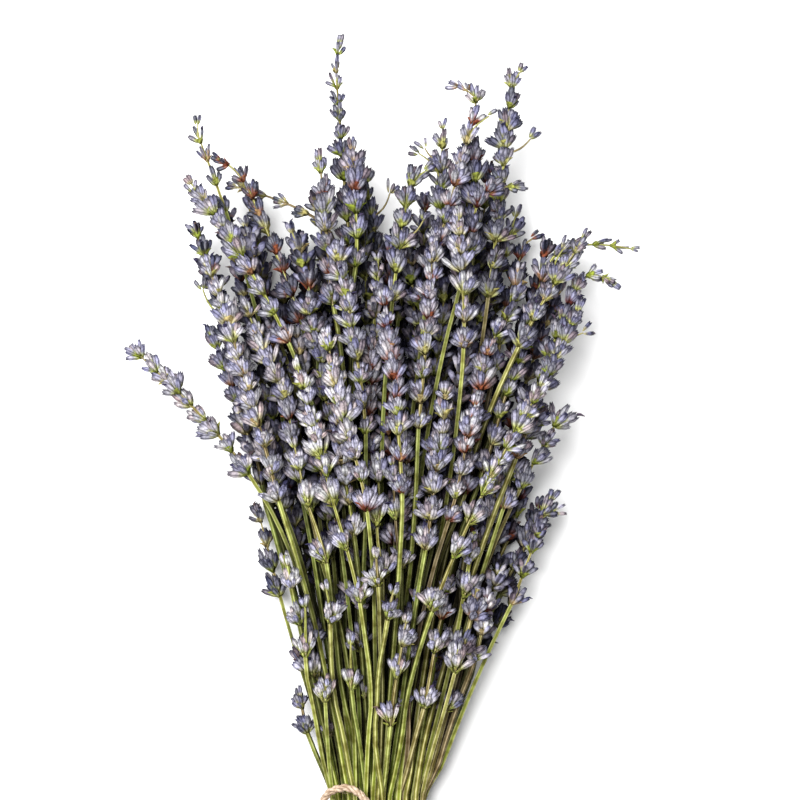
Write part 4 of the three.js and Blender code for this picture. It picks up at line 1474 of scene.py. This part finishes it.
# %% Twigs beside the spikes
# Each as (number of the spike, y where it leaves, its run in x, y and z, calyces at its end).
TWIGS = [
    (15, 233, (-6, 5, 2), 2),
    (15, 226, (-8, 10, 4), 3),
    (16, 236, (9, 5, 2), 3),
    (14, 238, (8, 10, 3), 1),
    (12, 214, (7, 9, 2), 3),
    (13, 205, (8, 7, 3), 3),
    (2, 214, (-7, 8, 2), 2),
    (6, 178, (-8, 10, 1), 3),
    (23, 165, (9, 8, 2), 3),
    (21, 190, (3, 12, 3), 3),
    (25, 104, (7, 6, 1), 2),
]
TWIG_RADIUS = 0.42
TWIG_END_SHARE = 0.6
TWIG_BOW = 0.12
TWIG_STEPS = 6
TWIG_TONES = (0.1, 0.6)
TWIG_LEANS = (12, 36)
LONE_LEAN = 4
TWIG_TURN_DRIFT = 0.4
TWIG_CALYX_SIZE = 0.72
TWIG_SEED = 4000


def add_twig(bm, rng, stem, y, run, calyx_count):
    """A bowed twig from a stem, with its calyces at the end."""
    start, run = path_point(stem, y), Vector(run)
    aside = Vector((-run.y, run.x, 0)) * rng.choice((-TWIG_BOW, TWIG_BOW))
    shares = [k / TWIG_STEPS for k in range(TWIG_STEPS + 1)]
    frames = carried_frames([start + run * t + aside * math.sin(math.pi * t) for t in shares])
    radii = [mix(TWIG_RADIUS, TWIG_END_SHARE * TWIG_RADIUS, t) for t in shares]
    tone, kin = rng.uniform(*TWIG_TONES), rng.choice(KIN_CHOICES)
    add_tube(bm, frames, radii, SQUARE, STEM, luck=rng.uniform(*AXIS_LUCKS), tone=tone)
    look = dict(tone=tone, kin=kin, slimness=LOOSE_SLIMNESS, shapes=calyxes)
    for k in range(calyx_count):
        spread = math.radians(rng.uniform(*TWIG_LEANS) if calyx_count > 1 else LONE_LEAN)
        turn = 2 * math.pi * k / calyx_count + drift(rng, TWIG_TURN_DRIFT)
        add_calyx(bm, rng, frames[-1], turn, spread, TWIG_CALYX_SIZE, look)


bm = new_shape()
rng = random.Random(TWIG_SEED)
for number, y, run, calyx_count in TWIGS:
    add_twig(bm, rng, stems[number - 1], y, run, calyx_count)
twigs = add_piece(bm, "side_twigs", finishes)
print("twigs:", len(TWIGS), "with", len(twigs.data.polygons), "faces")

# %% [markdown]
# ## The stems
# A lavender stem is square, with a groove down each side, so two pale edges and a darker
# line between them show from any angle. The darker line is partly painted shade in the groove.
# A curve with a round bevel would lose the groove, so each stem is a tube of eight corners
# along its path. They are kept in the six groups of the frame, and those on the right are
# browner and darker: partly a browner dried colour, partly painted shade on the side away
# from the light.

# %% Stems in groups
# The radius at the cut end and at the top of a stem.
STEM_RADIUS = 1.35
STEM_TOP_RADIUS = 0.85
STEM_STEP = 7.5

# A stem with more luck is browner and darker, and one that far to the right in the tie gets this
# much more. That extra on the right is partly painted shade on the side away from the light.
STEM_LUCKS = (0, 0.72)
BROWN_AND_SHADE_FROM_X = 7
BROWN_AND_SHADE_RIGHT = 0.42
FINE_STEM_SEED = 3000


def make_stem(bm, stem, number):
    rng = random.Random(FINE_STEM_SEED + number)
    line = stem_line(stem)
    top = line.length if stem["head"] == BARE else line.mark_of_y(stem["base"][1])
    stops = np.linspace(0, top, int(top / STEM_STEP))
    frames = [line.frame(d) @ Matrix.Rotation(stem["turn"], 4, "Z") for d in stops]
    radii = [mix(STEM_RADIUS, STEM_TOP_RADIUS, d / top) for d in stops]
    # Stems on the right get browner and darker, partly as painted shade on the side away from the
    # light.
    brown = BROWN_AND_SHADE_RIGHT if stem["tie"][0] > BROWN_AND_SHADE_FROM_X else 0
    luck = clamp01(rng.uniform(*STEM_LUCKS) + brown)
    add_tube(bm, frames, radii, SQUARE, STEM, luck=luck)


for pair, place in enumerate(GROUP_NAMES):
    bm = new_shape()
    for number, stem in enumerate(stems + fill_stems):
        if stem["pair"] == pair:
            make_stem(bm, stem, number)
    group = add_piece(bm, "fine_stems_" + place, finishes)
    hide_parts("stems_" + place)
print("stem groups:", len(GROUP_NAMES))

# %% [markdown]
# ## The twine
# Jute twine is three plies twisted round each other, with loose fibres all over. It goes three
# times round the stems, and then its two ends are tied in a bow on top. Each part is a smooth
# line first, and the plies wind round that line. One thick tube with a bumpy finish would be
# quicker, but its outline stays smooth close up.

# %% Driving values of the twine
# Three plies wind round the middle line of the twine, one turn in each TWIST_PITCH.
PLY_COUNT = 3
PLY_OFFSET = 0.72
PLY_RADIUS = 0.76
PLY_STEP = 1.2
TWIST_PITCH = 9.5
HEXAGON = [(math.radians(60 * i), 1.0, i % 2) for i in range(6)]

# The turns round the stems.
TURN_COUNT = 3
TURN_PITCH = 2.8
TURN_HALF_WIDTH = 18.6
TURN_HALF_HEIGHT = 9.65
STOPS_A_TURN = 24
STEPS_A_CORNER = 8

# The knot on top, and the middle lines of the bow's loops and ends, which start from it.
KNOT = (-1.5, 1, 23.8)
KNOT_HALF_WIDTH = 2.3
KNOT_HALF_HEIGHT = 1.0
KNOT_TURNS = 2
KNOT_PITCH = 1.5
LOOPS = [
    [KNOT, (-4, 9, 25.4), (-10, 13.4, 25.2), (-17, 11.5, 23.4), (-19, 6, 22.4), (-12, 2, 24.4), KNOT],
    [KNOT, (4, 5.5, 25.4), (12, 6.5, 25), (18.5, 2, 22.4), (14, -3, 23.6), (6, -2, 24.8), KNOT],
]
ENDS = [
    [KNOT, (-4, -6, 24.6), (-7, -14, 22.6), (-12, -26, 21.6)],
    [KNOT, (1, -6, 24.6), (5, -14, 22.8), (7, -30, 22.4)],
]
JUTE = 0
TWINE_SEED = 5000

# %% Loose fibres
TRIANGLE = HEXAGON[::2]
FIBRE_EVERY = 1.5
FIBRE_RADIUS = 0.07
# Each place on a fibre, as (share of its length, share of its radius).
FIBRE_STOPS = [(0, 1.2), (0.35, 1), (0.7, 0.8), (1, 0.4)]
FIBRE_BEND = 0.35
FIBRE_ROOT_SHARE = 1.8
FIBRE_LIFTS = (0.1, 0.5)
FIBRE_LENGTHS = (1.5, 4)
FRAYED_FIBRES = 14
FRAYED_LENGTHS = (2, 4.5)
FRAY_SPREAD = 0.3


def add_fibre(bm, rng, root, direction, length):
    """A thin loose fibre that leaves its root and bends."""
    bend = Vector([drift(rng, 1) for _ in range(3)]) * FIBRE_BEND * length
    points = [root + direction * length * t + bend * t * t for t, _ in FIBRE_STOPS]
    radii = [FIBRE_RADIUS * share for _, share in FIBRE_STOPS]
    add_tube(bm, carried_frames(points), radii, TRIANGLE, JUTE, luck=rng.random())


def add_fibres(bm, rng, frames, count):
    """Fibres that stand off a piece of twine, those that would reach the table left out."""
    for _ in range(count):
        frame = rng.choice(frames)
        angle, lift = rng.uniform(0, 2 * math.pi), rng.uniform(*FIBRE_LIFTS)
        side = frame.to_3x3() @ Vector((math.cos(angle), math.sin(angle), 0))
        along = frame.to_3x3() @ Vector((0, 0, rng.choice((-1, 1))))
        root = frame.translation + side * PLY_OFFSET * FIBRE_ROOT_SHARE
        length = rng.uniform(*FIBRE_LENGTHS)
        if root.z + length * (side.z * lift - FIBRE_BEND) > LEAST_HEIGHT:
            add_fibre(bm, rng, root, (along + side * lift).normalized(), length)


def fray(bm, rng, end, before):
    """A tuft of fibres where the twine was cut."""
    for _ in range(FRAYED_FIBRES):
        spread = Vector([drift(rng, FRAY_SPREAD) for _ in range(3)])
        away = (end - before).normalized() + spread
        add_fibre(bm, rng, end, away.normalized(), rng.uniform(*FRAYED_LENGTHS))


# %% Twine along a line
def smooth_line(corners):
    """Evenly spaced points on a smooth curve through the corners."""
    corners = [Vector(c) for c in corners]
    points = []
    for i in range(len(corners) - 1):
        before, after = corners[max(i - 1, 0)], corners[min(i + 2, len(corners) - 1)]
        a, b = corners[i], corners[i + 1]
        for k in range(STEPS_A_CORNER):
            points.append(hermite(a, (b - before) / 2, b, (after - a) / 2, 1, k / STEPS_A_CORNER))
    line = Line(points + [corners[-1]])
    return [line.point(d) for d in np.linspace(0, line.length, int(line.length / PLY_STEP))]


def winding_corners(middle, half_width, half_height, turns, pitch):
    """Corners of a flat coil round the Y axis that starts and ends at its top."""
    corners = []
    for k in range(turns * STOPS_A_TURN + 1):
        turn = k / STOPS_A_TURN
        angle = math.pi / 2 + 2 * math.pi * turn
        x, z = half_width * math.cos(angle), half_height * math.sin(angle)
        corners.append(Vector(middle) + Vector((x, pitch * (turn - turns / 2), z)))
    return corners


def add_twine(bm, rng, points):
    """Three plies wound round a line, with fibres that stand off."""
    frames = carried_frames(points)
    marks = Line(points).marks
    for ply in range(PLY_COUNT):
        places = []
        for frame, d in zip(frames, marks):
            angle = 2 * math.pi * (ply / PLY_COUNT + d / TWIST_PITCH)
            x, y = PLY_OFFSET * math.cos(angle), PLY_OFFSET * math.sin(angle)
            places.append(frame @ Vector((x, y, 0)))
        radii = [PLY_RADIUS] * len(places)
        add_tube(bm, carried_frames(places), radii, HEXAGON, JUTE, luck=rng.random())
    add_fibres(bm, rng, frames, int(marks[-1] / FIBRE_EVERY))


# %% The tie and its bow
rng = random.Random(TWINE_SEED)
bm = new_shape()
tie_middle = (0, 0, TIE_MIDDLE_Z)
turns = winding_corners(tie_middle, TURN_HALF_WIDTH, TURN_HALF_HEIGHT, TURN_COUNT, TURN_PITCH)
knot = winding_corners(KNOT, KNOT_HALF_WIDTH, KNOT_HALF_HEIGHT, KNOT_TURNS, KNOT_PITCH)
for corners in ([KNOT, *turns[1:-1], KNOT], knot, *LOOPS, *ENDS):
    add_twine(bm, rng, smooth_line(corners))
for corners in ENDS:
    fray(bm, rng, Vector(corners[-1]), Vector(corners[-2]))
twine = add_piece(bm, "fine_twine", [jute_finish()])
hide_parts("twine_tie")
print("twine faces:", len(twine.data.polygons))
